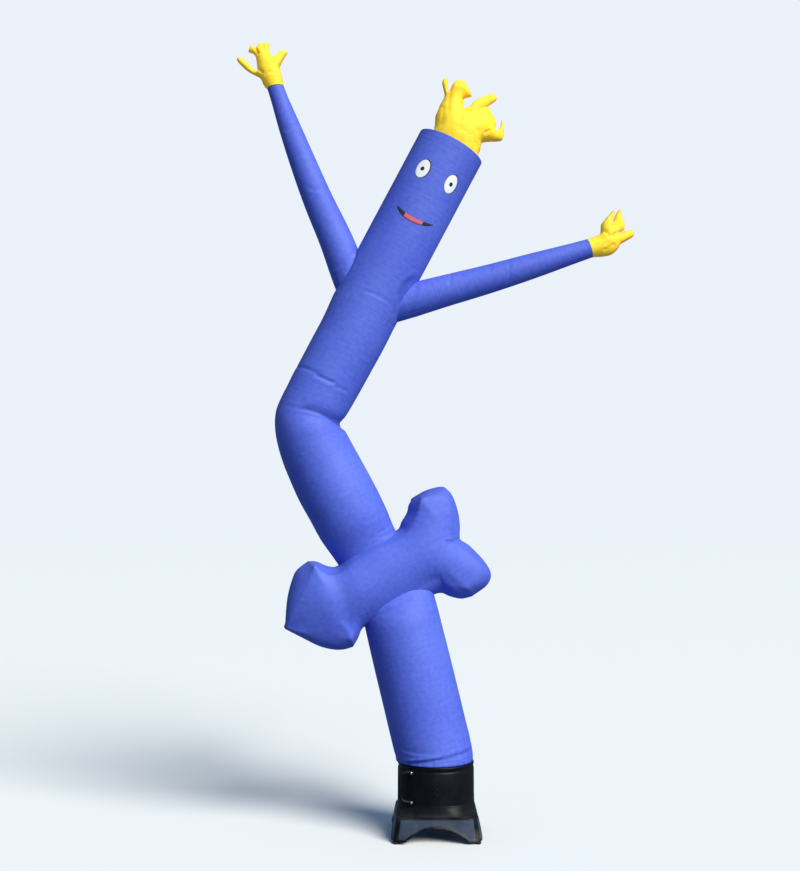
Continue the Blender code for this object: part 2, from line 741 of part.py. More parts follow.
# Barrel from its collar down, and the flared skirt that it stands on: radius, height above the deck
SKIRT_FOOT = DECK_HEIGHT + GAP
SKIRT_TOP = 0.0617
BARREL_FOOT_RADIUS = 0.2300
BARREL = (
    (COLLAR_RADIUS, COLLAR_TOP - SKIRT_FOOT),
    (COLLAR_RADIUS, 0.2857),
    (0.2255, 0.2817),
    (0.2275, 0.2747),
    (0.2250, 0.2657),
    (0.2250, 0.2577),
    (0.2285, 0.2497),
    (BARREL_RADIUS, 0.1517),
    (BARREL_FOOT_RADIUS, SKIRT_TOP + GAP),
)
SKIRT = (
    (BARREL_FOOT_RADIUS, SKIRT_TOP),
    (0.2340, 0.0337),
    (0.2420, 0.0140),
    (0.2450, 0.0060),
    (0.2450, 0.0),
)


def make_barrel(blower):
    """The round fan housing with its rim lip and the hem's collar, and the skirt under it."""
    for name, profile in (("blower_barrel", BARREL), ("barrel_skirt", SKIRT)):
        made = turned(name, profile, blower, housing_plastic(), BARREL_SIDES)
        thicken(made, BARREL_WALL)
        made.location.z = SKIRT_FOOT


def square_ring(half, chamfer, height):
    """A square section with cut corners, eight points round from the right front."""
    flat = half - chamfer
    corners = ((half, -flat), (half, flat), (flat, half), (-flat, half),
               (-half, flat), (-half, -flat), (-flat, -half), (flat, -half))
    return [Vector((x, y, height)) for x, y in corners]


# Stand from its foot up to its deck: half width, cut corner, height
BASE = (
    (0.2680, 0.040, FOOT_HEIGHT + GAP),
    (0.2680, 0.040, FOOT_HEIGHT + GAP + BASE_WALL),
    (0.2640, 0.038, 0.055),
    (0.2535, 0.032, 0.142),
    (0.2475, 0.030, DECK_HEIGHT),
)


def make_base(blower, helpers):
    """The square stand: flared sides round a deck, with an arch cut in each side."""
    bm = loft([square_ring(*row) for row in BASE], False)
    bm.verts.ensure_lookup_table()
    bm.faces.new(bm.verts[-8:])
    base = add_object("blower_base", bm, blower, stand_plastic())
    thicken(base, BASE_WALL)
    for name, turn in (("arch_front_back", 0.0), ("arch_left_right", math.pi / 2)):
        bm = bmesh.new()
        bmesh.ops.create_cone(bm, cap_ends=True, segments=ARCH_SIDES, radius1=ARCH_RADIUS,
                              radius2=ARCH_RADIUS, depth=ARCH_LENGTH)
        arch = add_object(name, bm, helpers)
        arch.matrix_world = (Matrix.Translation((0.0, 0.0, ARCH_TOP - ARCH_RADIUS))
                             @ Matrix.Rotation(turn, 4, "Z") @ Matrix.Rotation(math.pi / 2, 4, "X"))
        combine(base, arch, "DIFFERENCE")
    for number, (x, y) in enumerate(((1, -1), (1, 1), (-1, 1), (-1, -1)), 1):
        bm = bmesh.new()
        bmesh.ops.create_cone(bm, cap_ends=True, segments=16, radius1=FOOT_RADII[0],
                              radius2=FOOT_RADII[1], depth=FOOT_HEIGHT)
        foot = add_object(f"foot_{number}", bm, blower, foot_rubber())
        foot.location = (x * FOOT_OFFSET, y * FOOT_OFFSET, FOOT_HEIGHT / 2)


def barrel_point(angle, radius, height):
    """A point round the barrel: angle to the right of its front."""
    return Vector((radius * math.sin(angle), -radius * math.cos(angle), height))


# Handle on the barrel's left front: angle in degrees, stand-off from the barrel, height
HANDLE_PATH = (
    (-44.0, 0.011, 0.3960),
    (-46.0, 0.024, 0.3955),
    (-49.0, 0.038, 0.3860),
    (-50.5, 0.045, 0.3640),
    (-50.5, 0.046, 0.3100),
    (-50.5, 0.045, 0.2560),
    (-49.0, 0.038, 0.2340),
    (-46.0, 0.024, 0.2245),
    (-44.0, 0.011, 0.2240),
)
HANDLE_RADIUS = 0.0085
PAD_ANGLE = math.radians(-42.0)
BOLT_SHIFT = 0.0150     # from the middle of its pad towards the front
BOLT_HEIGHTS = {"top": 0.3960, "bottom": 0.2240}
PAD = (0.056, 0.009, 0.034)
# Round fittings: radius, length
BOLT = (0.0075, 0.005)
SCREW = (0.0065, 0.003)
INLET = (0.016, 0.018)
SCREW_HEIGHTS = {"top": 0.307, "bottom": 0.275}
INLET_HEIGHT = 0.235


def facing_matrix(angle, radius, height):
    """Faces a piece outwards from the barrel at an angle."""
    return Matrix.Translation(barrel_point(angle, radius, height)) @ Matrix.Rotation(angle, 4, "Z")


def stud(name, angle, radius, height, size, finish, blower, shift=0.0):
    """A round piece standing straight out of the barrel, shifted along its face if need be."""
    bm = bmesh.new()
    bmesh.ops.create_cone(bm, cap_ends=True, segments=12, radius1=size[0], radius2=size[0] * 0.8,
                          depth=size[1])
    made = add_object(name, bm, blower, finish)
    outwards = Matrix.Translation((shift, 0.0, 0.0)) @ Matrix.Rotation(math.pi / 2, 4, "X")
    made.matrix_world = facing_matrix(angle, radius + size[1] / 2, height) @ outwards


def make_handle(blower, helpers):
    """The side handle: a bent grip joined to two bolted feet."""
    curve = bpy.data.curves.new("grip", "CURVE")
    curve.dimensions = "3D"
    curve.bevel_depth = HANDLE_RADIUS
    curve.bevel_resolution = 2
    curve.use_fill_caps = True
    spline = curve.splines.new("POLY")
    spline.points.add(len(HANDLE_PATH) - 1)
    for point, (degrees, off, height) in zip(spline.points, HANDLE_PATH):
        point.co = (*barrel_point(math.radians(degrees), BARREL_RADIUS + off, height), 1.0)
    grip = bpy.data.objects.new("grip", curve)
    helpers.objects.link(grip)
    bpy.context.view_layer.update()
    evaluated = grip.evaluated_get(bpy.context.evaluated_depsgraph_get())
    bm = bmesh.new()
    bm.from_mesh(bpy.data.meshes.new_from_object(evaluated))
    bmesh.ops.remove_doubles(bm, verts=bm.verts, dist=0.0001)
    bmesh.ops.recalc_face_normals(bm, faces=bm.faces)
    bpy.data.objects.remove(grip)
    handle = add_object("carry_handle", bm, blower, housing_plastic())
    stand_off = BARREL_RADIUS + BARREL_CLEAR
    for side, height in BOLT_HEIGHTS.items():
        bm = bmesh.new()
        bmesh.ops.create_cube(bm, size=1.0)
        bmesh.ops.scale(bm, vec=PAD, verts=bm.verts)
        pad = add_object("handle_pad_" + side, bm, helpers)
        pad.matrix_world = facing_matrix(PAD_ANGLE, stand_off + PAD[1] / 2, height)
        combine(handle, pad, "UNION")
        stud("handle_bolt_" + side, PAD_ANGLE, stand_off + PAD[1] + GAP, height, BOLT,
             bolt_steel(), blower, BOLT_SHIFT)


def make_fittings(blower):
    """Two cover screws on the front and the power inlet at the back."""
    stand_off = BARREL_RADIUS + BARREL_CLEAR
    for side, height in SCREW_HEIGHTS.items():
        stud("cover_screw_" + side, 0.0, stand_off, height, SCREW, bolt_steel(), blower)
    stud("power_inlet", math.pi, stand_off, INLET_HEIGHT, INLET, housing_plastic(), blower)


def main():
    clear_scene()
    cloth = new_collection("air_dancer")
    blower = new_collection("blower")
    helpers = new_collection("cutters")
    make_tubes(cloth, helpers)
    make_hands_and_hair(cloth, helpers)
    make_face(cloth)
    make_barrel(blower)
    make_base(blower, helpers)
    make_handle(blower, helpers)
    make_fittings(blower)


main()
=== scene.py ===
import math

import bmesh
import bpy
import numpy as np
from mathutils import Matrix, Vector
from mathutils.geometry import delaunay_2d_cdt


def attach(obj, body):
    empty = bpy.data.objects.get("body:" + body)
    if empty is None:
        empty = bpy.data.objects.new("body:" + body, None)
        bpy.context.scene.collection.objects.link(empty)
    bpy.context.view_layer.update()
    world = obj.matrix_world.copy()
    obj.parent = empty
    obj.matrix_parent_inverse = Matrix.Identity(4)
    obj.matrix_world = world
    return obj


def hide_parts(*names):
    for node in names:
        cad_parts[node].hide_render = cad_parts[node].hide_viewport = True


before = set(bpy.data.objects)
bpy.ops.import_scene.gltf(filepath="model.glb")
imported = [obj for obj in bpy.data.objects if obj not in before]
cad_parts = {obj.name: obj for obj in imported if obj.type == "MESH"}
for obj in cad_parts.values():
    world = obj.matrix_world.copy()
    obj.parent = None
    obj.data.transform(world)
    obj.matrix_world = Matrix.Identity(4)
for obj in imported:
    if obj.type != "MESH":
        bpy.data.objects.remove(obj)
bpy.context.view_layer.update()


# The view: someone seven and a half metres away looks slightly up at the figure, as in the photograph.
# It stands on a plain pale floor in soft light from the front right.
scene = bpy.context.scene


def placed(name, data):
    """An object of this data, put in the scene."""
    made = bpy.data.objects.new(name, data)
    scene.collection.objects.link(made)
    return made


view_lens = bpy.data.cameras.new("view")
view_lens.sensor_width = 36.0
view_lens.lens = 50.84
view = placed("view", view_lens)
view.location = (-0.2155, -7.5, 2.0)
view.rotation_euler = (math.radians(92.97), 0.0, 0.0)
scene.camera = view

key_light = bpy.data.lights.new("key", "SUN")
key_light.energy = 4.8
key_light.color = (1.0, 0.99, 0.90)
key_light.angle = math.radians(35.0)
key = placed("key", key_light)
key.rotation_euler = (math.radians(52.0), 0.0, math.radians(40.0))

sky = bpy.data.worlds.new("studio")
sky.use_nodes = True
sky_nodes = sky.node_tree.nodes
seen_directly = sky_nodes.new("ShaderNodeLightPath").outputs["Is Camera Ray"]
sky_strength = sky_nodes.new("ShaderNodeMapRange")
sky_strength.inputs["To Min"].default_value = 0.31
sky_strength.inputs["To Max"].default_value = 0.95
sky_colour = sky_nodes.new("ShaderNodeMix")
sky_colour.data_type = "RGBA"
sky_colour.inputs[6].default_value = (0.46, 0.67, 1.0, 1.0)
sky_colour.inputs[7].default_value = (0.88, 0.93, 1.0, 1.0)
for source, target in ((seen_directly, sky_strength.inputs["Value"]),
                       (sky_strength.outputs[0], sky_nodes["Background"].inputs["Strength"]),
                       (seen_directly, sky_colour.inputs[0]),
                       (sky_colour.outputs[2], sky_nodes["Background"].inputs["Color"])):
    sky.node_tree.links.new(source, target)
scene.world = sky
scene.view_settings.view_transform = "Standard"


# Shader arithmetic, and the floor, which is a plain matt pale sheet that runs out of sight.
class Value:
    """A value in a material's nodes. Arithmetic on it adds Math nodes."""

    def __init__(self, finish, socket):
        self.finish = finish
        self.socket = socket

    def maths(self, operation, *others):
        return self.finish.node("Math", {"operation": operation}, dict(enumerate((self, *others))))

    def __add__(self, other):
        return self.maths("ADD", other)

    __radd__ = __add__

    def __mul__(self, other):
        return self.maths("MULTIPLY", other)

    __rmul__ = __mul__

    def __sub__(self, other):
        return self.maths("SUBTRACT", other)

    def __rsub__(self, other):
        return self.finish.node("Math", {"operation": "SUBTRACT"}, {0: other, 1: self})

    def __pow__(self, other):
        return self.maths("POWER", other)


class Finish:
    """A material whose nodes are added one by one and end in one Principled shader."""

    def __init__(self, name, **constants):
        self.material = bpy.data.materials.new(name)
        self.material.use_nodes = True
        self.tree = self.material.node_tree
        self.shader = self.tree.nodes["Principled BSDF"]
        self.surface(**constants)

    def fill(self, target, sockets):
        for name, value in sockets.items():
            if isinstance(value, Value):
                self.tree.links.new(value.socket, target.inputs[name])
            else:
                target.inputs[name].default_value = value

    def node(self, kind, settings=None, sockets=None, out=0):
        made = self.tree.nodes.new("ShaderNode" + kind)
        for name, value in (settings or {}).items():
            setattr(made, name, value)
        self.fill(made, sockets or {})
        return Value(self, made.outputs[out])

    def mix(self, share, first, second):
        """A colour between two others."""
        return self.node("Mix", {"data_type": "RGBA"}, {0: share, 6: first, 7: second}, 2)

    def noise(self, place, scale, detail=3.0):
        return self.node("TexNoise", None, {"Vector": place, "Scale": scale, "Detail": detail})

    def drawn_out(self, place, by):
        """A place with each of its parts multiplied by its own number."""
        return self.node("VectorMath", {"operation": "MULTIPLY"}, {0: place, 1: by})

    def steps(self, value, low, high):
        """0 below low and 1 above high, with a smooth rise between."""
        sockets = {"Value": value, "From Min": low, "From Max": high}
        return self.node("MapRange", {"interpolation_type": "SMOOTHSTEP"}, sockets)

    def marked(self, name):
        """What a mesh says of its points under this name."""
        return self.node("Attribute", {"attribute_name": name}, None, 2)

    def bump(self, height, distance, strength):
        return self.node("Bump", None, {"Height": height, "Distance": distance, "Strength": strength})

    def surface(self, **sockets):
        self.fill(self.shader, {name.replace("_", " "): value for name, value in sockets.items()})


floor_paint = Finish("floor_paint", Base_Color=(0.80, 0.82, 0.84, 1.0), Roughness=0.9)
floor_shape = bmesh.new()
bmesh.ops.create_grid(floor_shape, x_segments=1, y_segments=1, size=60.0)
floor_mesh = bpy.data.meshes.new("floor")
floor_shape.to_mesh(floor_mesh)
floor_shape.free()
floor_mesh.materials.append(floor_paint.material)
floor = placed("floor", floor_mesh)
# it throws no light up at the figure, which stands out of doors in the photograph
floor.visible_diffuse = False
floor.visible_glossy = False


# The lower tube: royal blue ripstop nylon sewn to a tube, its hem turned in and drawn over the outlet's
# collar by a strap, which gathers it in small pleats. The moving air holds it round.
CLOTH_UV = "cloth"
SEAM = "seam"
SHADE_MARK = "crease_shade"
ripstop_pitch = 0.0055
stitch_pitch = 0.0042


def nylon(name, dye, shaded, crease_shade_colour, grain=1.0):
    """Light ripstop nylon: squares of thick threads, fine drawn wrinkles, stitching along its seams and
    painted shade in its folds."""
    finish = Finish(name, Specular_IOR_Level=0.45)
    place = finish.node("UVMap", {"uv_map": CLOTH_UV})
    across, along = (finish.node("SeparateXYZ", None, {0: place}, out) for out in (0, 1))
    threads = [(part * (math.pi / ripstop_pitch)).maths("COSINE") ** 2.0 for part in (across, along)]
    ripstop = (threads[0].maths("MAXIMUM", threads[1])) ** 14.0
    wrinkles = finish.noise(finish.drawn_out(place, (7.0, 55.0, 1.0)), 1.0, 4.0)
    uneven = finish.noise(place, 2.3, 3.0)
    mottle = finish.noise(place, 34.0, 4.0)
    row = 1.0 - finish.steps((finish.marked(SEAM) - 0.007).maths("ABSOLUTE"), 0.0006, 0.0012)
    stitches = row * finish.steps((across * (2.0 * math.pi / stitch_pitch)).maths("COSINE"), -0.5, -0.1)
    tone = finish.steps(uneven * 0.55 + mottle * 0.45 + ripstop * 0.04 * grain, 0.32, 0.68)
    colour = finish.mix(tone, shaded, dye)
    # painted shade: the colour darkens where the mesh marks creases and seamed edges
    colour = finish.mix(finish.steps(finish.marked(SHADE_MARK), 0.05, 1.0) * 0.9, colour, crease_shade_colour)
    colour = finish.mix(stitches * 0.55, colour, (*(part * 0.45 for part in dye[:3]), 1.0))
    height = wrinkles * 1.7 * grain + ripstop * 0.10 + stitches * 0.25 + mottle * 0.12
    finish.surface(Base_Color=colour, Roughness=0.60 + mottle * 0.10,
                   Normal=finish.bump(height, 0.0016, 0.5))
    return finish.material


# the last colour is the painted shade in the blue cloth's creases
blue_nylon = nylon("blue_nylon", (0.090, 0.144, 0.650, 1.0), (0.062, 0.100, 0.580, 1.0),
                   (0.010, 0.018, 0.20, 1.0))


def smooth(share):
    share = np.clip(share, 0.0, 1.0)
    return share * share * (3.0 - 2.0 * share)


def spread(stations, spacing):
    """Stations at an even spacing on a smooth curve through the given ones, and their distances."""
    lengths = np.linalg.norm(np.diff(stations[:, :3], axis=0), axis=1)
    at = np.concatenate(([0.0], np.cumsum(lengths)))
    slopes = np.gradient(stations, at, axis=0)
    wanted = np.linspace(0.0, at[-1], round(at[-1] / spacing) + 1)
    k = np.clip(np.searchsorted(at, wanted, side="right") - 1, 0, len(at) - 2)
    span = (at[k + 1] - at[k])[:, None]
    t = (wanted - at[k])[:, None] / span
    bend = span * (t * (1.0 - t) ** 2 * slopes[k] - t * t * (1.0 - t) * slopes[k + 1])
    return (1.0 - smooth(t)) * stations[k] + smooth(t) * stations[k + 1] + bend, wanted


def rings(stations, sides):
    """Rows of points round each station: centre, half width and half depth. The cut is at the back."""
    turn = 0.5 * math.pi + np.linspace(0.0, 2.0 * math.pi, sides, endpoint=False)
    centre, across, depth = (stations[:, None, i:i + 3] for i in (0, 3, 6))
    return centre + across * np.cos(turn)[None, :, None] + depth * np.sin(turn)[None, :, None]


def outward(points):
    """Directions out of a tube's skin."""
    round_it = np.roll(points, -1, axis=1) - np.roll(points, 1, axis=1)
    normals = np.cross(round_it, np.gradient(points, axis=0))
    return normals / np.linalg.norm(normals, axis=2)[..., None]


# a crease fades in over this share of its line and out again over as much
crease_fade = 0.22


def pressed(points, creases, turn=0.12):
    """How far creases move a skin outwards. Each is on a side of the figure and has its depth, the widths
    of its steep and its gentle flank, the lip along its steep flank, and its line in x and z, with the
    steep flank on the right of the line, all in mm. They end within turn of the figure's outline."""
    flat = points[..., [0, 2]]
    where = {"front": smooth((0.02 - points[..., 1]) / turn),
             "back": smooth((0.02 + points[..., 1]) / turn), "both": 1.0}
    moved = np.zeros(points.shape[:-1])
    for side, (*sizes, line) in [(side, row) for side, rows in creases.items() for row in rows]:
        depth, steep, gentle, lip = np.array(sizes) / 1000.0
        line = np.array(line) / 1000.0
        nearest = np.full(moved.shape, np.inf)
        signed, share = np.zeros(moved.shape), np.zeros(moved.shape)
        for k, (start, end) in enumerate(zip(line, line[1:])):
            run = end - start
            t = np.clip((flat - start) @ run / (run @ run), 0.0, 1.0)
            off = flat - start - t[..., None] * run
            gap = np.linalg.norm(off, axis=-1)
            closer = gap < nearest
            nearest = np.where(closer, gap, nearest)
            signed = np.where(closer, run[0] * off[..., 1] - run[1] * off[..., 0], signed)
            share = np.where(closer, (k + t) / (len(line) - 1), share)
        trough = -depth * np.exp(-(nearest / np.where(signed > 0.0, gentle, steep)) ** 2)
        ridge = np.where(signed < 0.0, lip * np.exp(-((nearest - 1.7 * steep) / steep) ** 2), 0.0)
        moved += (trough + ridge) * smooth(np.minimum(share, 1.0 - share) / crease_fade) * where[side]
    return moved


def gathers(girth, columns, distance, height, reach, pitch):
    """Small uneven pleats that run away from a seam and die out with their distance from it."""
    turn = np.linspace(0.0, 2.0 * math.pi, columns, endpoint=False)
    waves = sum(size * np.sin(max(round(girth / (pitch * scale)), 2) * turn + phase)
                for size, scale, phase in ((0.5, 1.0, 0.4), (0.35, 0.61, 1.9), (0.3, 1.73, 4.1)))
    swell = 0.65 + 0.35 * np.sin(3.0 * turn + 0.8)
    return height * (waves * swell)[None, :] * np.exp(-np.abs(distance) / reach)[:, None]


def creased(stations, columns, girth, creases, *pleats):
    """A tube's points with its creases and its pleats, and how far those move each."""
    points = rings(stations, columns)
    move = pressed(points, creases) + sum(gathers(girth, columns, *pleat) for pleat in pleats)
    return points + outward(points) * move[..., None], move


def through_rows(name, rows):
    """A mesh through closed rows of points, each from the bottom up, and its faces."""
    rows = np.array(rows)
    count, columns = rows.shape[:2]
    low, j = np.meshgrid(np.arange(count - 1) * columns, np.arange(columns), indexing="ij")
    after = (j + 1) % columns
    faces = np.stack((low + j, low + after, low + columns + after, low + columns + j), -1)
    mesh = bpy.data.meshes.new(name)
    mesh.from_pydata(rows.reshape(-1, 3).tolist(), [], faces.reshape(-1, 4).tolist())
    return mesh, faces


def mark(mesh, name, values):
    """Says a number for each of a mesh's points, for its finish."""
    mesh.attributes.new(name, "FLOAT", "POINT").data.foreach_set("value", np.ravel(values).astype("f"))


def weave_on(mesh, places):
    """Lays the weave on a mesh, with a place in metres for each corner of its faces."""
    mesh.uv_layers.new(name=CLOTH_UV).data.foreach_set("uv", places.astype("f").ravel())


def shown(name, mesh, material):
    """A smooth object of this mesh and finish."""
    mesh.materials.append(material)
    mesh.shade_smooth()
    return placed(name, mesh)


# a crease this deep has the whole of the painted crease shade
crease_shade_depth = 0.018


def cloth_skin(name, points, girth, length, seam, move, material):
    """A tube's skin as one mesh, its weave laid out in metres round it and along it."""
    mesh, faces = through_rows(name, points)
    columns = points.shape[1]
    j = np.arange(columns)
    across = np.broadcast_to(np.stack((j, j + 1, j + 1, j), -1) * (girth / columns), faces.shape)
    weave_on(mesh, np.stack((across, length[faces // columns]), -1))
    mark(mesh, SEAM, np.repeat(seam, columns))
    # painted shade in the creases, fullest where they are deepest
    mark(mesh, SHADE_MARK, np.clip(-move / crease_shade_depth, 0.0, 1.0))
    return shown(name, mesh, material)


def fitted(piece, node):
    """The piece stands for this solid and rides with the whole figure."""
    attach(piece, "root")
    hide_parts(node)


def sewn(piece, slot, node, flat, **more):
    """The piece is this solid's cloth; its width and length before it was sewn are not used."""
    fitted(piece, node)


tube_spacing = 0.0095
tube_columns = 150
# centre x and z, lean to the left in degrees, half width, half depth, lengths in mm
lower_shape = (
    (-8, 436, 0, 231.5, 231), (-9, 462, 2, 232.5, 232.5), (-21, 520, 9, 232, 232),
    (-45.7, 620, 13.8, 231.5, 231.5), (-89, 800, 13.8, 231.5, 231.5), (-138, 1000, 13.8, 231, 231.5),
    (-187, 1200, 13.8, 229, 230), (-206, 1280, 13.8, 228, 223), (-226, 1360, 13.8, 226, 192),
    (-244, 1430, 13.8, 224, 148), (-272, 1540, 13.8, 205, 138),
)
lower_creases = {
    # depth, steep flank, gentle flank, lip, line in x and z
    "front": (
        (10, 7, 16, 7, ((300, 528), (220, 520), (150, 508), (60, 492), (-60, 472), (-170, 452),
                        (-240, 440))),
        (4, 5, 11, 2, ((160, 482), (100, 474), (20, 462), (-60, 450))),
        (3, 5, 10, 2, ((60, 520), (30, 500), (10, 478), (0, 450))),
        (3, 8, 18, 2, ((-245, 530), (-130, 512), (-20, 516))),
        (4, 10, 22, 1, ((-430, 1285), (-370, 1300), (-320, 1330), (-260, 1360))),
    ),
    "back": (
        (9, 7, 16, 6, ((-260, 492), (-100, 478), (80, 470), (250, 480))),
        (5, 12, 26, 2, ((-430, 1330), (-300, 1345), (-180, 1400), (-50, 1430))),
    ),
}


def upright(table):
    """Stations of a tube from its centre line, its lean and its half widths."""
    x, z, lean, half, depth = np.array(table).T
    lean = np.radians(lean)
    none = 0.0 * x
    parts = (x, none, z, half * np.cos(lean), none, half * np.sin(lean), none, depth, none)
    return np.column_stack(parts) / 1000.0


lower_girth = 2.0 * math.pi * 0.2315
lower_stations, lower_run = spread(upright(lower_shape), tube_spacing)
lower_points, lower_move = creased(lower_stations, tube_columns, lower_girth, lower_creases,
                                   (lower_run, 0.0030, 0.055, 0.052))
turned_in = lower_points[2::-1] * (0.985, 0.985, 1.0)
lower_points = np.concatenate((turned_in, lower_points))
lower_move = np.concatenate((lower_move[:3], lower_move))
lower_run = np.concatenate((-lower_run[3:0:-1], lower_run))
lower_tube = cloth_skin("lower_tube_cloth", lower_points, lower_girth, lower_run,
                        np.abs(lower_run - 0.035), lower_move, blue_nylon)
sewn(lower_tube, "blue_nylon", "lower_tube", (1.455, 1.17), rests_on=["blower_barrel_shell"])


# The middle tube: the same cloth from the arrow up to the shoulder seam. It buckles where the figure
# bends, so the lower part bulges over a deep crease and shallower ones cross the tube above it.
# left edge x and z, right edge x and z, half depth, mm
middle_shape = (
    (-494, 1447, -126, 1633, 132), (-549, 1541, -191, 1747, 136), (-610, 1632, -243, 1814, 152),
    (-696, 1753, -301, 1947, 203), (-763, 1874, -363, 2075, 222), (-831, 1996, -429, 2197, 225),
    (-886, 2118, -490, 2307, 226), (-928, 2222, -532, 2384, 229), (-956, 2312, -554, 2420, 233),
    (-973, 2392, -566, 2440, 235), (-979, 2468, -572, 2452, 229), (-972, 2540, -574, 2464, 218),
    (-942, 2618, -566, 2482, 214), (-905, 2692, -545, 2511, 213), (-874, 2757, -513, 2564, 212),
    (-834, 2832, -469, 2641, 212), (-759, 2976, -391, 2783, 212.5), (-686, 3115, -316, 2920, 212.5),
    (-624, 3254, -248, 3056, 212.5),
)
middle_creases = {
    # depth, steep flank, gentle flank, lip, line in x and z
    "front": (
        (3, 6, 12, 1, ((-985, 2568), (-900, 2552), (-830, 2540), (-740, 2530))),
        (5, 14, 6, 1, ((-880, 2818), (-830, 2806), (-771, 2784), (-716, 2758), (-675, 2746))),
        (8, 14, 6, 2, ((-735, 2748), (-690, 2732), (-640, 2708), (-590, 2690))),
        (4, 12, 6, 1, ((-610, 2676), (-565, 2664), (-520, 2642))),
        (4, 4, 9, 2, ((-370, 1785), (-315, 1808), (-265, 1845), (-205, 1900))),
        (3, 4, 8, 2, ((-350, 1760), (-295, 1782), (-225, 1805))),
        (2, 5, 10, 1, ((-430, 1860), (-380, 1872), (-330, 1900), (-280, 1940))),
    ),
    "both": (
        (11, 8, 30, 3, ((-850, 2543), (-760, 2530), (-690, 2508), (-630, 2478), (-576, 2446),
                        (-500, 2395))),
    ),
    "back": (
        (12, 8, 15, 7, ((-900, 2790), (-790, 2770), (-690, 2722), (-600, 2712), (-500, 2660))),
        (6, 8, 16, 3, ((-850, 2690), (-740, 2664), (-620, 2610), (-540, 2560))),
        (8, 10, 22, 4, ((-500, 1840), (-400, 1825), (-300, 1830), (-220, 1800))),
    ),
}


def edged(table):
    """Stations of a tube from its left and right edges, as the figure is faced, and its half depth."""
    rows = [((a + c) / 2, 0.0, (b + d) / 2, (c - a) / 2, 0.0, (d - b) / 2, 0.0, depth, 0.0)
            for a, b, c, d, depth in table]
    return np.array(rows) / 1000.0


middle_girth = 2.0 * math.pi * 0.220
middle_stations, middle_run = spread(edged(middle_shape), tube_spacing)
middle_seam = middle_run[-1] - middle_run
middle_points, middle_move = creased(middle_stations, tube_columns, middle_girth, middle_creases,
                                     (middle_seam, 0.0010, 0.030, 0.040))
middle_tube = cloth_skin("middle_tube_cloth", middle_points, middle_girth, middle_run, middle_seam,
                         middle_move, blue_nylon)
sewn(middle_tube, "blue_nylon", "middle_tube", (1.38, 1.95))


# The head and shoulders: one straight blue tube above the shoulder seam, closed by a crowned round
# panel. The rim's seam puckers a little, and the cloth swells between the two arms.
shoulder = Vector((-0.436, 0.0, 3.155))
head_top = Vector((0.1005, 0.0, 4.1734))
up_head = (head_top - shoulder).normalized()
across_head = Vector((0.0, 1.0, 0.0)).cross(up_head)
head_length = (head_top - shoulder).length
head_radius = 0.2130
rim_radius = 0.005
head_creases = {
    # depth, steep flank, gentle flank, lip, line in x and z
    "front": (
        (3, 12, 7, 1, ((-450, 3250), (-380, 3232), (-310, 3200), (-240, 3150))),
        (6, 14, 34, 3, ((-610, 3330), (-560, 3350), (-520, 3420), (-475, 3520))),
        (6, 14, 34, 3, ((-100, 3360), (-180, 3300), (-220, 3230), (-215, 3130))),
    ),
    "back": (
        (6, 14, 34, 3, ((-600, 3320), (-540, 3370), (-500, 3470), (-460, 3560))),
        (5, 14, 34, 3, ((-80, 3370), (-170, 3320), (-220, 3220), (-230, 3110))),
    ),
}


def up_the_head(rows):
    """Stations of a round tube at heights above the shoulder seam and of these radii."""
    return np.array([(*(shoulder + up_head * height), *(across_head * radius), 0.0, radius, 0.0)
                     for height, radius in rows])


head_rows = [(head_length * share, 0.2125 + 0.0005 * share) for share in (0.0, 0.3, 0.6, 0.9)]
head_rows.append((head_length - rim_radius, head_radius))
rim_turns = np.radians(np.arange(18.0, 91.0, 18.0))
rim_rows = [(head_length - rim_radius * (1.0 - math.sin(turn)),
             head_radius - rim_radius * (1.0 - math.cos(turn))) for turn in rim_turns]
head_stations, head_run = spread(up_the_head(head_rows), tube_spacing)
head_stations = np.vstack((head_stations, up_the_head(rim_rows)))
head_run = np.concatenate((head_run, head_run[-1] + rim_radius * rim_turns))
head_girth = 2.0 * math.pi * head_radius
head_points, head_move = creased(head_stations, tube_columns, head_girth, head_creases,
                                 (head_run, 0.0010, 0.030, 0.040),
                                 (head_run[-1] - head_run, 0.0006, 0.022, 0.030))
head_seam = np.minimum(head_run, np.abs(head_run[-1] - rim_radius - head_run))
head_tube = cloth_skin("head_tube_cloth", head_points, head_girth, head_run, head_seam, head_move,
                       blue_nylon)
sewn(head_tube, "blue_nylon", "head_tube", (1.34, 1.14))

cap_crown = 0.0315
cap_shares = np.linspace(1.0, 0.06, 16)
cap_edge = head_radius - rim_radius
cap_points = rings(up_the_head([(head_length + cap_crown * (1.0 - share ** 2) + 0.0005, cap_edge * share)
                                for share in cap_shares]), tube_columns)
cap_run = cap_edge * (1.0 - cap_shares)
cap_move = gathers(head_girth, tube_columns, cap_run, 0.0012, 0.030, 0.030)
cap_points += np.array(up_head) * cap_move[..., None]
head_cap = cloth_skin("head_cap_cloth", cap_points, head_girth, cap_run, cap_run, cap_move, blue_nylon)
cap_middle = bmesh.new()
cap_middle.from_mesh(head_cap.data)
open_edges = [edge for edge in cap_middle.edges if edge.is_boundary and
              (edge.verts[0].co - head_top - up_head * cap_crown).length < 0.05]
bmesh.ops.contextual_create(cap_middle, geom=open_edges)
cap_middle.to_mesh(head_cap.data)
cap_middle.free()
head_cap.data.shade_smooth()
sewn(head_cap, "blue_nylon", "head_cap", (0.43, 0.43), area=0.143)


# The arms: tapered blue sleeves set into the armholes. The seam puckers at the shoulder and the wrist.
arm_columns = 84
arm_spacing = 0.010
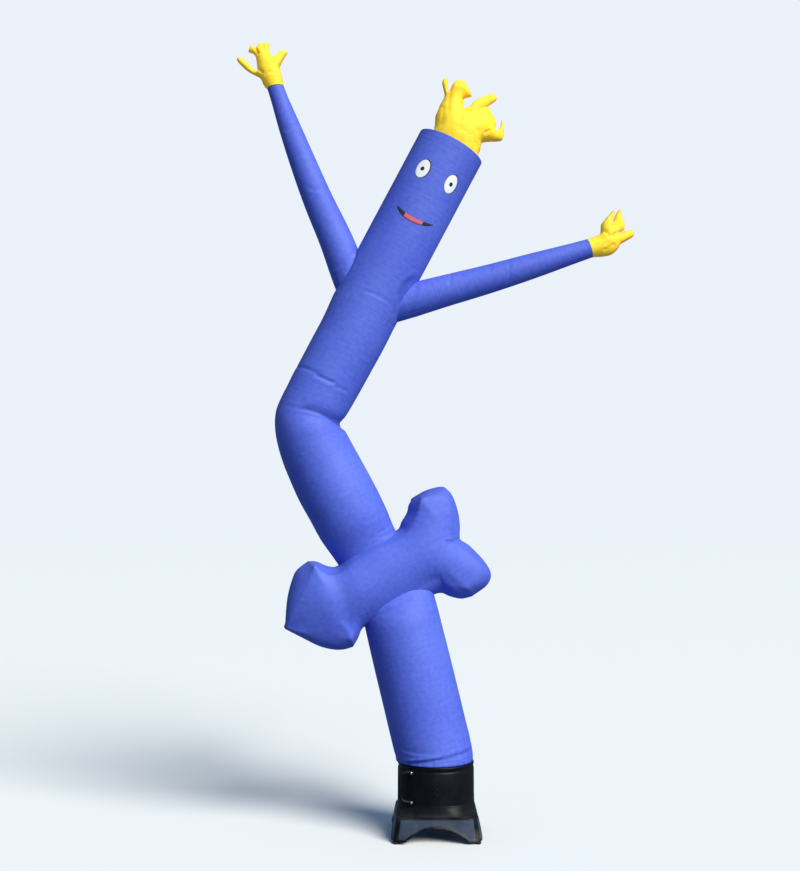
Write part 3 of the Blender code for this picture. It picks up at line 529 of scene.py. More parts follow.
# x, z, radius, from inside the shoulder to inside the hand's cuff, mm
arm_shapes = {
    "left": (
        (-445, 3172, 112), (-530, 3385, 110), (-610, 3594, 103), (-721, 3843, 92), (-821, 4093, 80),
        (-915, 4344, 64), (-960, 4470, 54), (-990, 4556, 50),
    ),
    "right": (
        (-340, 3163, 104), (-150, 3219, 105), (30, 3270, 98), (325, 3351, 88), (621, 3440, 76.5),
        (818, 3501, 65), (966, 3547, 57.5),
    ),
}
arm_creases = {
    # depth, steep flank, gentle flank, lip, line in x and z
    "left": {
        "front": (
            (5, 10, 20, 3, ((-640, 3380), (-570, 3420), (-500, 3490), (-450, 3560))),
            (3, 8, 18, 2, ((-800, 3900), (-740, 3880), (-670, 3890), (-620, 3930))),
            (4, 8, 18, 2, ((-960, 4270), (-910, 4260), (-860, 4280), (-810, 4320))),
        ),
        "back": (
            (4, 8, 18, 2, ((-900, 4120), (-840, 4110), (-780, 4140), (-720, 4170))),
        ),
    },
    "right": {
        "front": (
            (3, 14, 20, 0, ((-150, 3080), (-150, 3160), (-125, 3260), (-80, 3400))),
            (4, 6, 10, 1, ((85, 3280), (95, 3330), (100, 3380), (110, 3440))),
            (3, 6, 10, 1, ((325, 3370), (345, 3410), (350, 3460))),
            (3, 6, 10, 1, ((440, 3280), (452, 3350), (455, 3420), (448, 3500))),
        ),
        "back": (
            (4, 8, 18, 2, ((460, 3290), (470, 3360), (450, 3430), (420, 3500))),
        ),
    },
}
# sleeve cut: width at the armhole, length, area
arm_cuts = {"left": (0.70, 1.50, 0.80), "right": (0.66, 1.37, 0.74)}


def along_path(table):
    """Stations square to a path of x, z and radius."""
    x, z, radius = np.array(table).T / 1000.0
    centres = np.column_stack((x, 0.0 * x, z))
    heading = np.gradient(centres, axis=0)
    heading /= np.linalg.norm(heading, axis=1)[:, None]
    across = np.cross((0.0, 1.0, 0.0), heading) * radius[:, None]
    return np.column_stack((centres, across, 0.0 * x, radius, 0.0 * x))


def thickened(piece):
    """Gives a nearly closed form its cloth's thickness."""
    thickness = piece.modifiers.new("thickness", "SOLIDIFY")
    thickness.thickness = 0.001
    return piece


for side, shape in arm_shapes.items():
    stations, run = spread(along_path(shape), arm_spacing)
    width, length, area = arm_cuts[side]
    girth = width * 0.8
    points, move = creased(stations, arm_columns, girth, arm_creases[side],
                           (run - 0.20, 0.0022, 0.050, 0.036), (run[-1] - run, 0.0014, 0.045, 0.026))
    arm = thickened(cloth_skin(f"arm_{side}_cloth", points, girth, run, np.abs(run[-1] - 0.02 - run),
                               move, blue_nylon))
    sewn(arm, "blue_nylon", "arm_" + side, (width, length), area=area)


# The arrow: two flat arrow panels joined by a gusset, sewn round the tubes and blown up with them. The
# gusset bulges past the panels' seams, and the cloth is drawn in where they turn a corner.
arrow_middle = Vector((-0.295, 0.0, 1.540))
arrow_rise = math.radians(27.5)
arrow_turn = math.radians(10.0)
arrow_grid = 0.0105
gusset_half = 0.160
gusset_rows = 16
arrow_swell = 5.0
tip_pinch = 0.78
tip_reach = 0.17
ruffle_pitches = (0.036, 0.022)
# a point of the seam and the one where the gusset stands out furthest beside it, both along the arrow
# from its middle and to its upper side, mm
arrow_cut = (
    (-690, 18, -691, 7), (-627, 68, -637, 99), (-563, 115, -587, 173), (-499, 167, -521, 246),
    (-430, 223, -468, 285), (-372, 271, -385, 300), (-345, 225, -342, 279), (-310, 190, -281, 226),
    (-240, 170, -228, 200), (-130, 180, -130, 225), (0, 188, 0, 235), (120, 175, 130, 215),
    (200, 185, 200, 214), (260, 215, 235, 244), (318, 262, 288, 274), (345, 296, 330, 318),
    (372, 327, 398, 342), (425, 318, 459, 344), (480, 296, 547, 322), (512, 262, 570, 290),
    (515, 210, 580, 236), (497, 150, 566, 140), (465, 85, 538, 60), (437, 20, 503, -14),
    (452, -40, 535, -80), (485, -120, 569, -192), (505, -200, 577, -269), (490, -250, 560, -315),
    (440, -278, 509, -347), (375, -281, 400, -361), (302, -216, 337, -342), (270, -172, 281, -294),
    (249, -134, 248, -255), (180, -120, 188, -237), (80, -125, 80, -230), (-31, -130, -31, -224),
    (-150, -130, -150, -217), (-235, -128, -254, -211), (-290, -150, -288, -219),
    (-330, -185, -330, -250), (-376, -219, -385, -281), (-439, -174, -440, -268),
    (-502, -129, -495, -238), (-565, -84, -559, -180), (-630, -40, -625, -88),
)
# places on the seam that stay sharp corners, and those where it turns inwards and its gathers are
arrow_corners = (0, 5, 16, 29, 40)
arrow_gathers = (8, 14, 23, 32, 38)
arrow_creases = {
    # depth, steep flank, gentle flank, lip, line along and across the arrow
    "both": (
        (16, 65, 75, 0, ((-290, 320), (-290, 180), (-300, 40), (-330, -110), (-340, -280))),
    ),
    "front": (
        (11, 6, 12, 3, ((540, -25), (470, 4), (420, 16), (370, 45))),
        (-5, 18, 18, 0, ((-372, 290), (-378, 220), (-375, 140))),
        (-6, 20, 20, 0, ((-376, -240), (-376, -160), (-390, -80))),
        (-3, 22, 22, 0, ((372, 340), (384, 250), (400, 160))),
        (-4, 24, 24, 0, ((375, -295), (350, -210), (315, -120))),
    ),
}
arrow_along = Vector((math.cos(arrow_rise) * math.cos(arrow_turn),
                      math.cos(arrow_rise) * math.sin(arrow_turn), math.sin(arrow_rise)))
arrow_back = Vector((-math.sin(arrow_turn), math.cos(arrow_turn), 0.0))
arrow_axes = Matrix((arrow_along, arrow_back, arrow_along.cross(arrow_back))).transposed()
arrow_place = Matrix.Translation(arrow_middle) @ arrow_axes.to_4x4()


def rounded(outline, spacing, corners=()):
    """Points at an even spacing on a smooth closed curve through an outline's points, given in mm, and
    how far round each is. The curve stays sharp at the corners."""
    outline = np.array(outline) / 1000.0
    closed = np.vstack((outline[-1:], outline, outline[:2]))
    points, at = [], []
    for k, (before, start, end, after) in enumerate(zip(closed, closed[1:], closed[2:], closed[3:])):
        if k in corners:
            before = 2.0 * start - end
        if (k + 1) % len(outline) in corners:
            after = 2.0 * end - start
        parts = max(round(np.linalg.norm(end[:2] - start[:2]) / spacing), 1)
        for t in np.arange(parts) / parts:
            bend = (1.0 - t) * (end - before) - t * (after - start)
            points.append(start + smooth(t) * (end - start) + 0.5 * t * (1.0 - t) * bend)
            at.append(k + t)
    return np.array(points), np.array(at)


def panel_of(edge, grid):
    """A flat panel within a closed edge: its points, its triangles and the place of each edge point."""
    low, high = edge.min(axis=0), edge.max(axis=0)
    rows = np.arange(low[1], high[1], grid * 0.87)
    inner = np.array([(x + grid * 0.5 * (row % 2), z) for row, z in enumerate(rows)
                      for x in np.arange(low[0], high[0], grid)])
    gap = np.linalg.norm(inner[:, None] - edge[None], axis=2).min(axis=1)
    given = [Vector(point) for point in np.vstack((edge, inner[gap > grid * 0.6])).tolist()]
    flat, _, faces, origin, *_ = delaunay_2d_cdt(given, [], [list(range(len(edge)))], 1, 1e-7)
    place = np.zeros(len(edge), dtype=int)
    for k, ids in enumerate(origin):
        for number in ids:
            if number < len(edge):
                place[number] = k
    return np.array(flat), np.array(faces), place


def swelling(flat, faces, sewn_at):
    """How high air lifts a panel of triangles that is held where it is sewn."""
    count = len(flat)
    corner = flat[faces]
    sides = np.roll(corner, -1, axis=1) - np.roll(corner, 1, axis=1)
    area = 0.5 * np.abs(sides[:, 0, 0] * sides[:, 1, 1] - sides[:, 0, 1] * sides[:, 1, 0])
    stiff = np.zeros((count, count))
    load = np.zeros(count)
    for k in range(3):
        np.add.at(load, faces[:, k], area / 3.0)
        for m in range(3):
            pull = (sides[:, k] * sides[:, m]).sum(axis=1) / (4.0 * area)
            np.add.at(stiff, (faces[:, k], faces[:, m]), pull)
    height = np.zeros(count)
    free = np.setdiff1d(faces, sewn_at)
    height[free] = np.linalg.solve(stiff[np.ix_(free, free)], load[free])
    return np.maximum(height, 0.0)


def cloth_form(name, points, faces, seam, move, weave, crease_shade, edge_shade):
    """A sewn form's mesh, its points moved outwards, with what its finish needs. The painted crease shade
    shows by so much in its creases and at its edge."""
    mesh = bpy.data.meshes.new(name)
    mesh.from_pydata(points.tolist(), [], faces)
    normals = np.empty(3 * len(points))
    mesh.vertices.foreach_get("normal", normals)
    moved = points + normals.reshape(-1, 3) * move[:, None]
    mesh.vertices.foreach_set("co", moved.ravel())
    mark(mesh, SEAM, seam)
    # painted shade along the seam round the form's edge
    edge_shade_share = edge_shade * (1.0 - smooth(seam / 0.012))
    mark(mesh, SHADE_MARK, np.clip(-crease_shade * move / crease_shade_depth + edge_shade_share, 0.0, 1.0))
    corners = np.empty(len(mesh.loops), dtype=int)
    mesh.loops.foreach_get("vertex_index", corners)
    weave_on(mesh, weave[corners])
    return mesh


arrow_edges, arrow_at = rounded(arrow_cut, arrow_grid, arrow_corners)
arrow_seam, arrow_outer = arrow_edges[:, :2], arrow_edges[:, 2:]
arrow_flat, arrow_faces, arrow_sewn = panel_of(arrow_seam, arrow_grid)
arrow_height = gusset_half + arrow_swell * swelling(arrow_flat, arrow_faces, arrow_sewn)
arrow_panel = np.column_stack((arrow_flat[:, 0], -arrow_height, arrow_flat[:, 1]))
arrow_count = len(arrow_panel)
# the gusset is an arc of a circle from the front seam to the back one
bulge = np.maximum(np.linalg.norm(arrow_outer - arrow_seam, axis=1), 0.001)
arc_radius = (gusset_half ** 2 + bulge ** 2) / (2.0 * bulge)
arc_half = np.arcsin(np.minimum(gusset_half / arc_radius, 1.0))
way_out = (arrow_outer - arrow_seam) / bulge[:, None]
arc_shares = np.linspace(-1.0, 1.0, gusset_rows + 1)[1:-1]
gusset = []
for share in arc_shares:
    out = arc_radius * (np.cos(arc_half * share) - np.cos(arc_half))
    places = arrow_seam + way_out * out[:, None]
    gusset.append(np.column_stack((places[:, 0], arc_radius * np.sin(arc_half * share), places[:, 1])))
arrow_points = np.vstack((arrow_panel, arrow_panel * (1.0, -1.0, 1.0), *gusset))
# the tip is pinched, so that both panels nearly meet there
tip_gap = np.linalg.norm(arrow_points[:, [0, 2]] - arrow_seam[0], axis=1)
arrow_points[:, 1] *= 1.0 - tip_pinch * np.exp(-tip_gap / tip_reach)
around = len(arrow_seam)
strips = [arrow_sewn, *(2 * arrow_count + around * k + np.arange(around) for k in range(gusset_rows - 1)),
          arrow_count + arrow_sewn]
arrow_quads = np.concatenate([np.stack((a, np.roll(a, -1), np.roll(b, -1), b), -1)
                              for a, b in zip(strips, strips[1:])])
from_seam = np.linalg.norm(arrow_flat[:, None] - arrow_seam[None], axis=2)
panel_far, panel_beside = from_seam.min(axis=1), from_seam.argmin(axis=1)
gusset_far = [arc_radius * arc_half * (1.0 - abs(share)) for share in arc_shares]
arrow_far = np.concatenate((panel_far, panel_far, *gusset_far))
arrow_beside = np.concatenate((panel_beside, panel_beside, np.tile(np.arange(around), gusset_rows - 1)))
seam_run = np.concatenate(([0.0], np.cumsum(np.linalg.norm(np.diff(arrow_seam, axis=0), axis=1))))
# the gathers are strongest where the seam turns inwards
round_the_cut = [np.abs(arrow_at - k) for k in arrow_gathers]
near_turn = sum(np.exp(-(np.minimum(gap, len(arrow_cut) - gap) / 1.1) ** 2) for gap in round_the_cut)
ruffle = (0.5 * np.sin(seam_run * 2.0 * math.pi / ruffle_pitches[0])
          + 0.4 * np.sin(seam_run * 2.0 * math.pi / ruffle_pitches[1] + 1.3))
ruffle *= 0.0004 + 0.0022 * near_turn
arrow_move = pressed(arrow_points, arrow_creases) + ruffle[arrow_beside] * np.exp(-arrow_far / 0.035)
arrow_weave = np.concatenate((arrow_flat, arrow_flat + (0.0, 1.0), *(
    np.column_stack((seam_run, np.full(around, 3.0 + 0.025 * k))) for k in range(gusset_rows - 1))))
arrow_sides = [*arrow_faces.tolist(), *(arrow_faces[:, ::-1] + arrow_count).tolist(), *arrow_quads.tolist()]
# painted shade, faint, in its creases and along its seams
arrow_mesh = cloth_form("arrow_cloth", arrow_points, arrow_sides, arrow_far, arrow_move, arrow_weave,
                        crease_shade=0.30, edge_shade=0.12)
arrow_mesh.transform(arrow_place)
arrow = thickened(shown("arrow_cloth", arrow_mesh, blue_nylon))
sewn(arrow, "blue_nylon", "arrow", (1.30, 1.75), area=2.2)


# Hands and hair: bright yellow nylon. Each is two panels cut to one outline, sewn round it and blown
# up, so a seam runs round its edge and the panels are fullest where the outline is widest.
panel_grid = 0.0060
# its last colour is the orange-brown painted shade of its creases and edges
yellow_nylon = nylon("yellow_nylon", (0.98, 0.78, 0.040, 1.0), (1.00, 0.54, 0.012, 1.0),
                     (0.62, 0.20, 0.005, 1.0))
# painted light: a faint warm emission lightens the yellow cloth and keeps its shade orange, as daylight
# through the thin cloth would
painted_glow = yellow_nylon.node_tree.nodes["Principled BSDF"].inputs
painted_glow["Emission Color"].default_value = (1.0, 0.58, 0.01, 1.0)
painted_glow["Emission Strength"].default_value = 0.17


def blown(outline, fullness, middle):
    """A blown form's points, triangles and distances from its seam. Its two panels are sewn round the
    outline and lie on both sides of the surface that middle gives as y for each x and z."""
    edge = rounded(outline, panel_grid)[0]
    flat, faces, place = panel_of(edge, panel_grid)
    sewn_here = np.isin(np.arange(len(flat)), place)
    turn = np.cross(flat[faces[:, 1]] - flat[faces[:, 0]], flat[faces[:, 2]] - flat[faces[:, 0]])
    faces = faces[~sewn_here[faces].all(axis=1) & (np.abs(turn) > 1e-9)]
    # a half circle across a straight strip
    height = fullness * np.sqrt(2.0 * swelling(flat, faces, np.flatnonzero(sewn_here)))
    seam = np.linalg.norm(flat[:, None] - edge[None], axis=2).min(axis=1)
    centre = middle(flat[:, 0], flat[:, 1])
    front, back = (np.column_stack((flat[:, 0], centre + way * height, flat[:, 1])) for way in (-1.0, 1.0))
    twin = np.where(sewn_here, np.arange(len(flat)), len(flat) + np.cumsum(~sewn_here) - 1)
    return (np.vstack((front, back[~sewn_here])), np.vstack((faces, twin[faces][:, ::-1])),
            np.concatenate((seam, seam[~sewn_here])))


def sewn_form(node, parts, place, away, creases, flat, area):
    """One yellow piece made of blown parts, cut off at a plane, with its creases pressed in."""
    points, faces, seams = [], [], []
    for part in parts:
        more_points, more_faces, more_seam = blown(*part)
        faces.append(more_faces + sum(len(group) for group in points))
        points.append(more_points)
        seams.append(more_seam)
    points, seam = np.vstack(points), np.concatenate(seams)
    move = pressed(points, creases, 0.03) * smooth(seam / 0.02)
    name = node + "_cloth"
    # painted shade, full in the creases and strong along the seam round the edge
    mesh = cloth_form(name, points, np.vstack(faces).tolist(), seam, move, points[:, [0, 2]],
                      crease_shade=1.0, edge_shade=0.55)
    cut = bmesh.new()
    cut.from_mesh(mesh)
    everything = [*cut.verts, *cut.edges, *cut.faces]
    bmesh.ops.bisect_plane(cut, geom=everything, plane_co=place, plane_no=away, clear_outer=True)
    bmesh.ops.delete(cut, geom=[v for v in cut.verts if not v.link_faces], context="VERTS")
    cut.to_mesh(mesh)
    cut.free()
    sewn(thickened(shown(name, mesh, yellow_nylon)), "yellow_nylon", node, flat, area=area)


def flat_middle(x, z):
    return np.zeros(len(x))


# x, z, mm
left_outline = (
    (-938, 4567), (-945, 4608), (-955, 4647), (-962, 4671), (-952, 4695), (-936, 4729), (-915, 4763),
    (-914, 4777), (-937, 4782), (-955, 4785), (-970, 4773), (-984, 4756), (-1003, 4746), (-1017, 4758),
    (-1027, 4782), (-1030, 4807), (-1026, 4826), (-1037, 4830), (-1056, 4829), (-1070, 4830),
    (-1087, 4827), (-1101, 4814), (-1111, 4800), (-1125, 4807), (-1137, 4817), (-1145, 4807),
    (-1156, 4777), (-1149, 4767), (-1132, 4763), (-1115, 4748), (-1108, 4729), (-1103, 4695),
    (-1100, 4666), (-1098, 4651), (-1112, 4656), (-1146, 4690), (-1180, 4724), (-1211, 4739),
    (-1225, 4734), (-1227, 4722), (-1213, 4700), (-1189, 4676), (-1165, 4654), (-1131, 4632),
    (-1103, 4618), (-1081, 4605), (-1071, 4588), (-1064, 4569), (-1050, 4548), (-1036, 4530),
    (-1005, 4440), (-905, 4470),
)
left_creases = {
    # depth, steep flank, gentle flank, lip, line in x and z
    "front": (
        (12, 5, 10, 2, ((-1064, 4840), (-1062, 4810), (-1056, 4785), (-1050, 4755))),
        (9, 6, 12, 2, ((-1118, 4800), (-1106, 4770), (-1092, 4735))),
        (8, 6, 12, 2, ((-1010, 4752), (-998, 4720), (-985, 4690))),
        (7, 6, 12, 2, ((-1100, 4655), (-1080, 4640), (-1060, 4615))),
        (3, 8, 14, 1, ((-1060, 4600), (-1020, 4625), (-985, 4620))),
    ),
    "back": (
        (10, 5, 10, 2, ((-1064, 4840), (-1060, 4800), (-1050, 4760))),
        (6, 6, 12, 2, ((-1100, 4655), (-1080, 4640), (-1050, 4620))),
    ),
}
left_wrist = (Vector((-0.9885, 0.0, 4.5485)), Vector((0.201, 0.0, -0.979)))
sewn_form("hand_left", [(left_outline, 0.95, flat_middle)], *left_wrist, left_creases,
          (0.76, 0.36), 0.125)

right_outline = (
    (935, 3600), (949, 3603), (988, 3618), (1014, 3630), (1019, 3647), (1021, 3683), (1026, 3695),
    (1045, 3719), (1074, 3752), (1096, 3776), (1107, 3782), (1106, 3762), (1088, 3709), (1093, 3708),
    (1112, 3750), (1129, 3775), (1142, 3789), (1148, 3772), (1150, 3744), (1157, 3731), (1166, 3714),
    (1168, 3688), (1167, 3663), (1156, 3650), (1130, 3636), (1133, 3630), (1164, 3647), (1192, 3655),
    (1215, 3656), (1225, 3645), (1227, 3632), (1220, 3617), (1196, 3599), (1165, 3582), (1141, 3566),
    (1129, 3544), (1110, 3523), (1086, 3504), (1055, 3494), (1015, 3489), (968, 3485), (870, 3455),
    (845, 3575),
)
right_creases = {
    "front": (
        (12, 6, 12, 3, ((1155, 3655), (1125, 3638), (1095, 3625), (1070, 3600))),
        (8, 5, 10, 2, ((1156, 3735), (1140, 3710), (1122, 3680), (1110, 3655))),
        (7, 5, 10, 2, ((1092, 3720), (1084, 3695), (1076, 3668))),
        (5, 8, 16, 2, ((1010, 3640), (1035, 3635), (1055, 3615), (1062, 3590))),
        (4, 8, 16, 2, ((1110, 3560), (1080, 3555), (1050, 3530), (1020, 3520))),
    ),
    "back": (
        (10, 6, 12, 3, ((1155, 3655), (1120, 3640), (1080, 3610))),
        (6, 5, 10, 2, ((1156, 3735), (1135, 3705), (1115, 3665))),
    ),
}
right_wrist = (Vector((0.9505, 0.0, 3.5440)), Vector((-0.955, 0.0, -0.296)))
sewn_form("hand_right", [(right_outline, 0.95, flat_middle)], *right_wrist, right_creases,
          (0.74, 0.36), 0.125)

tuft_outline = (
    (-40, 4180), (-5, 4288), (1, 4332), (4, 4369), (23, 4413), (32, 4438), (48, 4464), (60, 4492),
    (51, 4533), (45, 4564), (51, 4586), (73, 4599), (81, 4589), (79, 4558), (85, 4526), (88, 4511),
    (97, 4533), (113, 4564), (138, 4582), (169, 4584), (190, 4571), (203, 4545), (227, 4492),
    (206, 4482), (181, 4476), (176, 4464), (178, 4432), (184, 4404), (218, 4401), (267, 4426),
    (317, 4435), (342, 4423), (360, 4394), (376, 4369), (383, 4338), (381, 4306), (391, 4294),
    (409, 4319), (419, 4376), (428, 4332), (431, 4294), (428, 4256), (415, 4231), (384, 4225),
    (341, 4220), (298, 4211), (288, 4200), (282, 4162), (270, 4134), (220, 4010),
)
lock_outline = (
    (174, 4394), (212, 4413), (243, 4445), (274, 4470), (311, 4492), (348, 4511), (373, 4508),
    (385, 4489), (379, 4470), (360, 4454), (336, 4435), (298, 4400), (255, 4355), (205, 4325),
    (160, 4345),
)
hair_creases = {
    "front": (
        (7, 7, 9, 0, ((300, 4238), (322, 4256), (348, 4274))),
        (5, 9, 14, 1, ((120, 4545), (150, 4552), (185, 4548), (215, 4512))),
        (5, 13, 20, 0, ((178, 4420), (160, 4380), (150, 4330), (160, 4280))),
        (5, 12, 20, 0, ((90, 4520), (85, 4460), (78, 4400), (82, 4340))),
        (5, 14, 24, 0, ((290, 4380), (262, 4330), (250, 4280), (262, 4220))),
        (4, 10, 22, 0, ((40, 4430), (50, 4380), (40, 4320), (20, 4270))),
        (2, 14, 24, 0, ((110, 4290), (150, 4250), (200, 4230), (240, 4200))),
    ),
    "back": (
        (14, 9, 18, 3, ((178, 4420), (150, 4360), (130, 4290), (120, 4220))),
        (12, 8, 18, 3, ((375, 4290), (320, 4270), (262, 4250))),
        (10, 8, 18, 3, ((90, 4520), (78, 4450), (60, 4380))),
    ),
}


def tuft_middle(x, z):
    """The tuft's locks lean a little forwards on its left and backwards on its right."""
    return 0.06 * smooth((x - 0.24) / 0.18) - 0.03 * smooth((z - 4.42) / 0.15)


def lock_middle(x, z):
    """The long lock stands in front of the others at its root and reaches back."""
    return -0.055 + 0.07 * smooth((x - 0.22) / 0.16)


sewn_form("hair", [(tuft_outline, 0.98, tuft_middle), (lock_outline, 0.85, lock_middle)],
          head_top + up_head * 0.010, -up_head, hair_creases, (1.14, 0.70), 0.42)


# The face: ovals and a mouth cut from black, white and red nylon and sewn flat on the head, one over
# the other, with a row of stitches just inside each edge.
face_dyes = {
    # slot: dye, its second tone for mottling, the painted shade of its folds and edges
    "black_nylon": ((0.012, 0.012, 0.018, 1.0), (0.016, 0.016, 0.022, 1.0), (0.004, 0.004, 0.006, 1.0)),
    "white_nylon": ((0.90, 0.91, 0.93, 1.0), (0.82, 0.84, 0.90, 1.0), (0.35, 0.38, 0.50, 1.0)),
    "red_nylon": ((0.70, 0.13, 0.17, 1.0), (0.62, 0.09, 0.12, 1.0), (0.26, 0.02, 0.04, 1.0)),
}
face_nylon = {slot: nylon(slot, *dyes, 0.5) for slot, dyes in face_dyes.items()}
patch_rings = 9
# how much of the box round it an oval fills
oval_share = 0.78
eye_height = 0.900
eye_size = (0.0420, 0.0600)
# the black backing shows most above and to the right of the white
rim_size = (0.0455, 0.0636)
rim_shift = (0.0030, 0.0028)
pupil_size = (0.0125, 0.0135)
eye_angles = {"left": math.radians(-19.5), "right": math.radians(34.5)}
# degrees round the head, height of the middle line and half thickness in mm
smile = (
    (-29, 635, 2), (-23, 620, 8.6), (-17, 610, 12.2), (-11, 603, 14.2), (-2.5, 598, 15.2), (6, 597, 15),
    (14.5, 600, 14.2), (23, 607, 13), (29, 614, 10.4), (35, 623, 6.6), (41, 634, 1.6),
)


def on_head(arc, height, lift):
    """Points of the head's front from arc lengths round it, heights above the shoulder and lifts."""
    angle = arc / head_radius
    reach = head_radius + lift
    side = np.array(across_head) * (reach * np.sin(angle))[..., None]
    front = np.array((0.0, -1.0, 0.0)) * (reach * np.cos(angle))[..., None]
    return np.array(shoulder) + np.array(up_head) * height[..., None] + side + front


def joined(mesh):
    """Merges the points of a mesh that lie on each other."""
    form = bmesh.new()
    form.from_mesh(mesh)
    bmesh.ops.remove_doubles(form, verts=form.verts, dist=1e-6)
    form.to_mesh(mesh)
    form.free()
    return mesh


def patch(node, slot, edge, middle, lift, size):
    """A piece of cloth cut to an edge of arc and height, sewn on at the lift, its edge turned down."""
    shares = np.concatenate(((1.0,), np.linspace(0.97, 0.0, patch_rings)))
    lifts = np.where(shares < 1.0, lift + 0.0008 * (1.0 - shares ** 2), lift - 0.0009)
    flat = np.array(middle) + shares[:, None, None] * (edge - np.array(middle))
    mesh, faces = through_rows(node + "_cloth", on_head(flat[..., 0], flat[..., 1], lifts[:, None]))
    weave_on(mesh, flat.reshape(-1, 2)[faces])
    seam = np.linalg.norm(flat - edge, axis=2)
    mark(mesh, SEAM, seam + 0.002)
    # painted shade along the patch's edge, where it turns down
    mark(mesh, SHADE_MARK, 0.8 * (1.0 - smooth(seam / 0.004)))
    made = shown(node + "_cloth", joined(mesh), face_nylon[slot])
    sewn(made, slot, node, size, rests_on=["head_tube_cloth"], area=size[0] * size[1] * oval_share)


def oval(middle, size, sides=72):
    turn = np.linspace(0.0, 2.0 * math.pi, sides, endpoint=False)
    return np.column_stack((middle[0] + size[0] * np.cos(turn), middle[1] + size[1] * np.sin(turn)))


for side, angle in eye_angles.items():
    middle = (angle * head_radius, eye_height)
    behind = (middle[0] + rim_shift[0], middle[1] + rim_shift[1])
    for layer, centre, half, lift, slot in (
            ("eye_rim_", behind, rim_size, 0.0010, "black_nylon"),
            ("eye_white_", middle, eye_size, 0.0022, "white_nylon"),
            ("pupil_", middle, pupil_size, 0.0034, "black_nylon")):
        patch(layer + side, slot, oval(centre, half), centre, lift, (2.0 * half[0], 2.0 * half[1]))

smile_line = spread(np.array([(math.radians(angle) * head_radius, height / 1000.0, 0.0, half / 1000.0)
                              for angle, height, half in smile]), 0.0035)[0]


def lips(first, last, spare):
    """The edge of a stretch of the smile, with so much to spare above and below, and its middle line."""
    part = smile_line[(smile_line[:, 0] >= first) & (smile_line[:, 0] <= last)]
    lower, upper = (np.column_stack((part[:, 0], part[:, 1] + way * (part[:, 3] + spare)))
                    for way in (-1.0, 1.0))
    edge = np.vstack((lower, upper[::-1]))
    return edge, np.column_stack((edge[:, 0], np.interp(edge[:, 0], smile_line[:, 0], smile_line[:, 1])))


mouth_edge, mouth_middle = lips(smile_line[0, 0], smile_line[-1, 0], 0.0)
patch("mouth_line", "black_nylon", mouth_edge, mouth_middle, 0.0010, (0.27, 0.038))
red_edge, red_middle = lips(math.radians(-11.0) * head_radius, math.radians(23.0) * head_radius, -0.0012)
red_middle[:, 0] = red_middle[:, 0] * 0.94 + math.radians(6.0) * head_radius * 0.06
patch("mouth_red", "red_nylon", red_edge, red_middle, 0.0022, (0.13, 0.029))


# The fan's barrel: black polypropylene, turned, with a rolled rim under the hem's collar and a skirt
# that flares from the round barrel to the square stand. Moulded ribs run round its rim and its foot.
PAINTED_REFLECTION = "panel"


def plastic(name, dark, light, roughness, grain_depth, panel=None):
    """Moulded plastic: a fine leather grain, rubbed patches, dust near the ground and, where its mesh
    marks them, panels with a paler painted reflection."""
    finish = Finish(name, Specular_IOR_Level=0.16)
    place = finish.node("TexCoord", None, None, 3)
    grain = finish.node("TexVoronoi", {"feature": "SMOOTH_F1"}, {"Vector": place, "Scale": 520.0})
    rubbed = finish.noise(place, 9.0, 5.0)
    streak = finish.noise(finish.drawn_out(place, (30.0, 30.0, 4.0)), 1.0)
    height = finish.node("SeparateXYZ", None, {0: place}, 2)
    dust = (1.0 - finish.steps(height, 0.02, 0.20)) * finish.steps(rubbed, 0.42, 0.72) * 0.30
    colour = finish.mix(finish.steps(rubbed * 0.6 + streak * 0.4, 0.40, 0.66), dark, light)
    # painted reflection: the marked panels turn paler blue-grey
    if panel:
        colour = finish.mix(finish.marked(PAINTED_REFLECTION), colour, panel)
    colour = finish.mix(dust, colour, (0.20, 0.19, 0.18, 1.0))
    finish.surface(Base_Color=colour, Roughness=rubbed * 0.22 + dust * 0.5 + (roughness - 0.11),
                   Normal=finish.bump(grain * -1.0 + rubbed * 0.6, grain_depth, 0.6))
    return finish.material


housing_plastic = plastic("housing_plastic", (0.0022, 0.0023, 0.0042, 1.0), (0.0050, 0.0053, 0.0085, 1.0),
                          0.47, 0.0002)
deck_height = 0.1483
# radius, height, mm
barrel_profile = (
    (225.2, 210.5), (230, 210.5), (230.2, 219), (229.6, 226), (229.2, 300), (228.6, 394), (227.2, 398.5),
    (225, 402), (224.6, 406), (225, 411), (226.6, 415), (228.2, 419), (229, 423), (228.8, 427),
    (227, 431), (224, 433), (221.2, 433.6), (220.5, 437), (220.5, 457.5), (216, 457.5), (216, 430),
    (223, 390), (224, 250),
)
# height, half width, mm, exponent of the section's rounded square, 2 for a circle
skirt_rows = (
    (220, 224, 2), (210.4, 230, 2), (204, 230.3, 2.04), (198, 230.6, 2.12), (190, 231.1, 2.3),
    (181, 231.8, 2.6), (172, 232.8, 3), (164, 234.2, 3.5), (157.5, 236.2, 4.1), (153, 238.5, 4.6),
    (150.4, 239.5, 5), (148.6, 239.5, 5), (148.6, 230, 5),
)


def rounded_edges(piece, width, parts=2):
    """Rounds a hard piece's edges."""
    bevel = piece.modifiers.new("rounding", "BEVEL")
    bevel.width = width
    bevel.segments = parts
    bevel.limit_method = "ANGLE"
    bevel.angle_limit = math.radians(35.0)
    bevel.harden_normals = True
    return piece


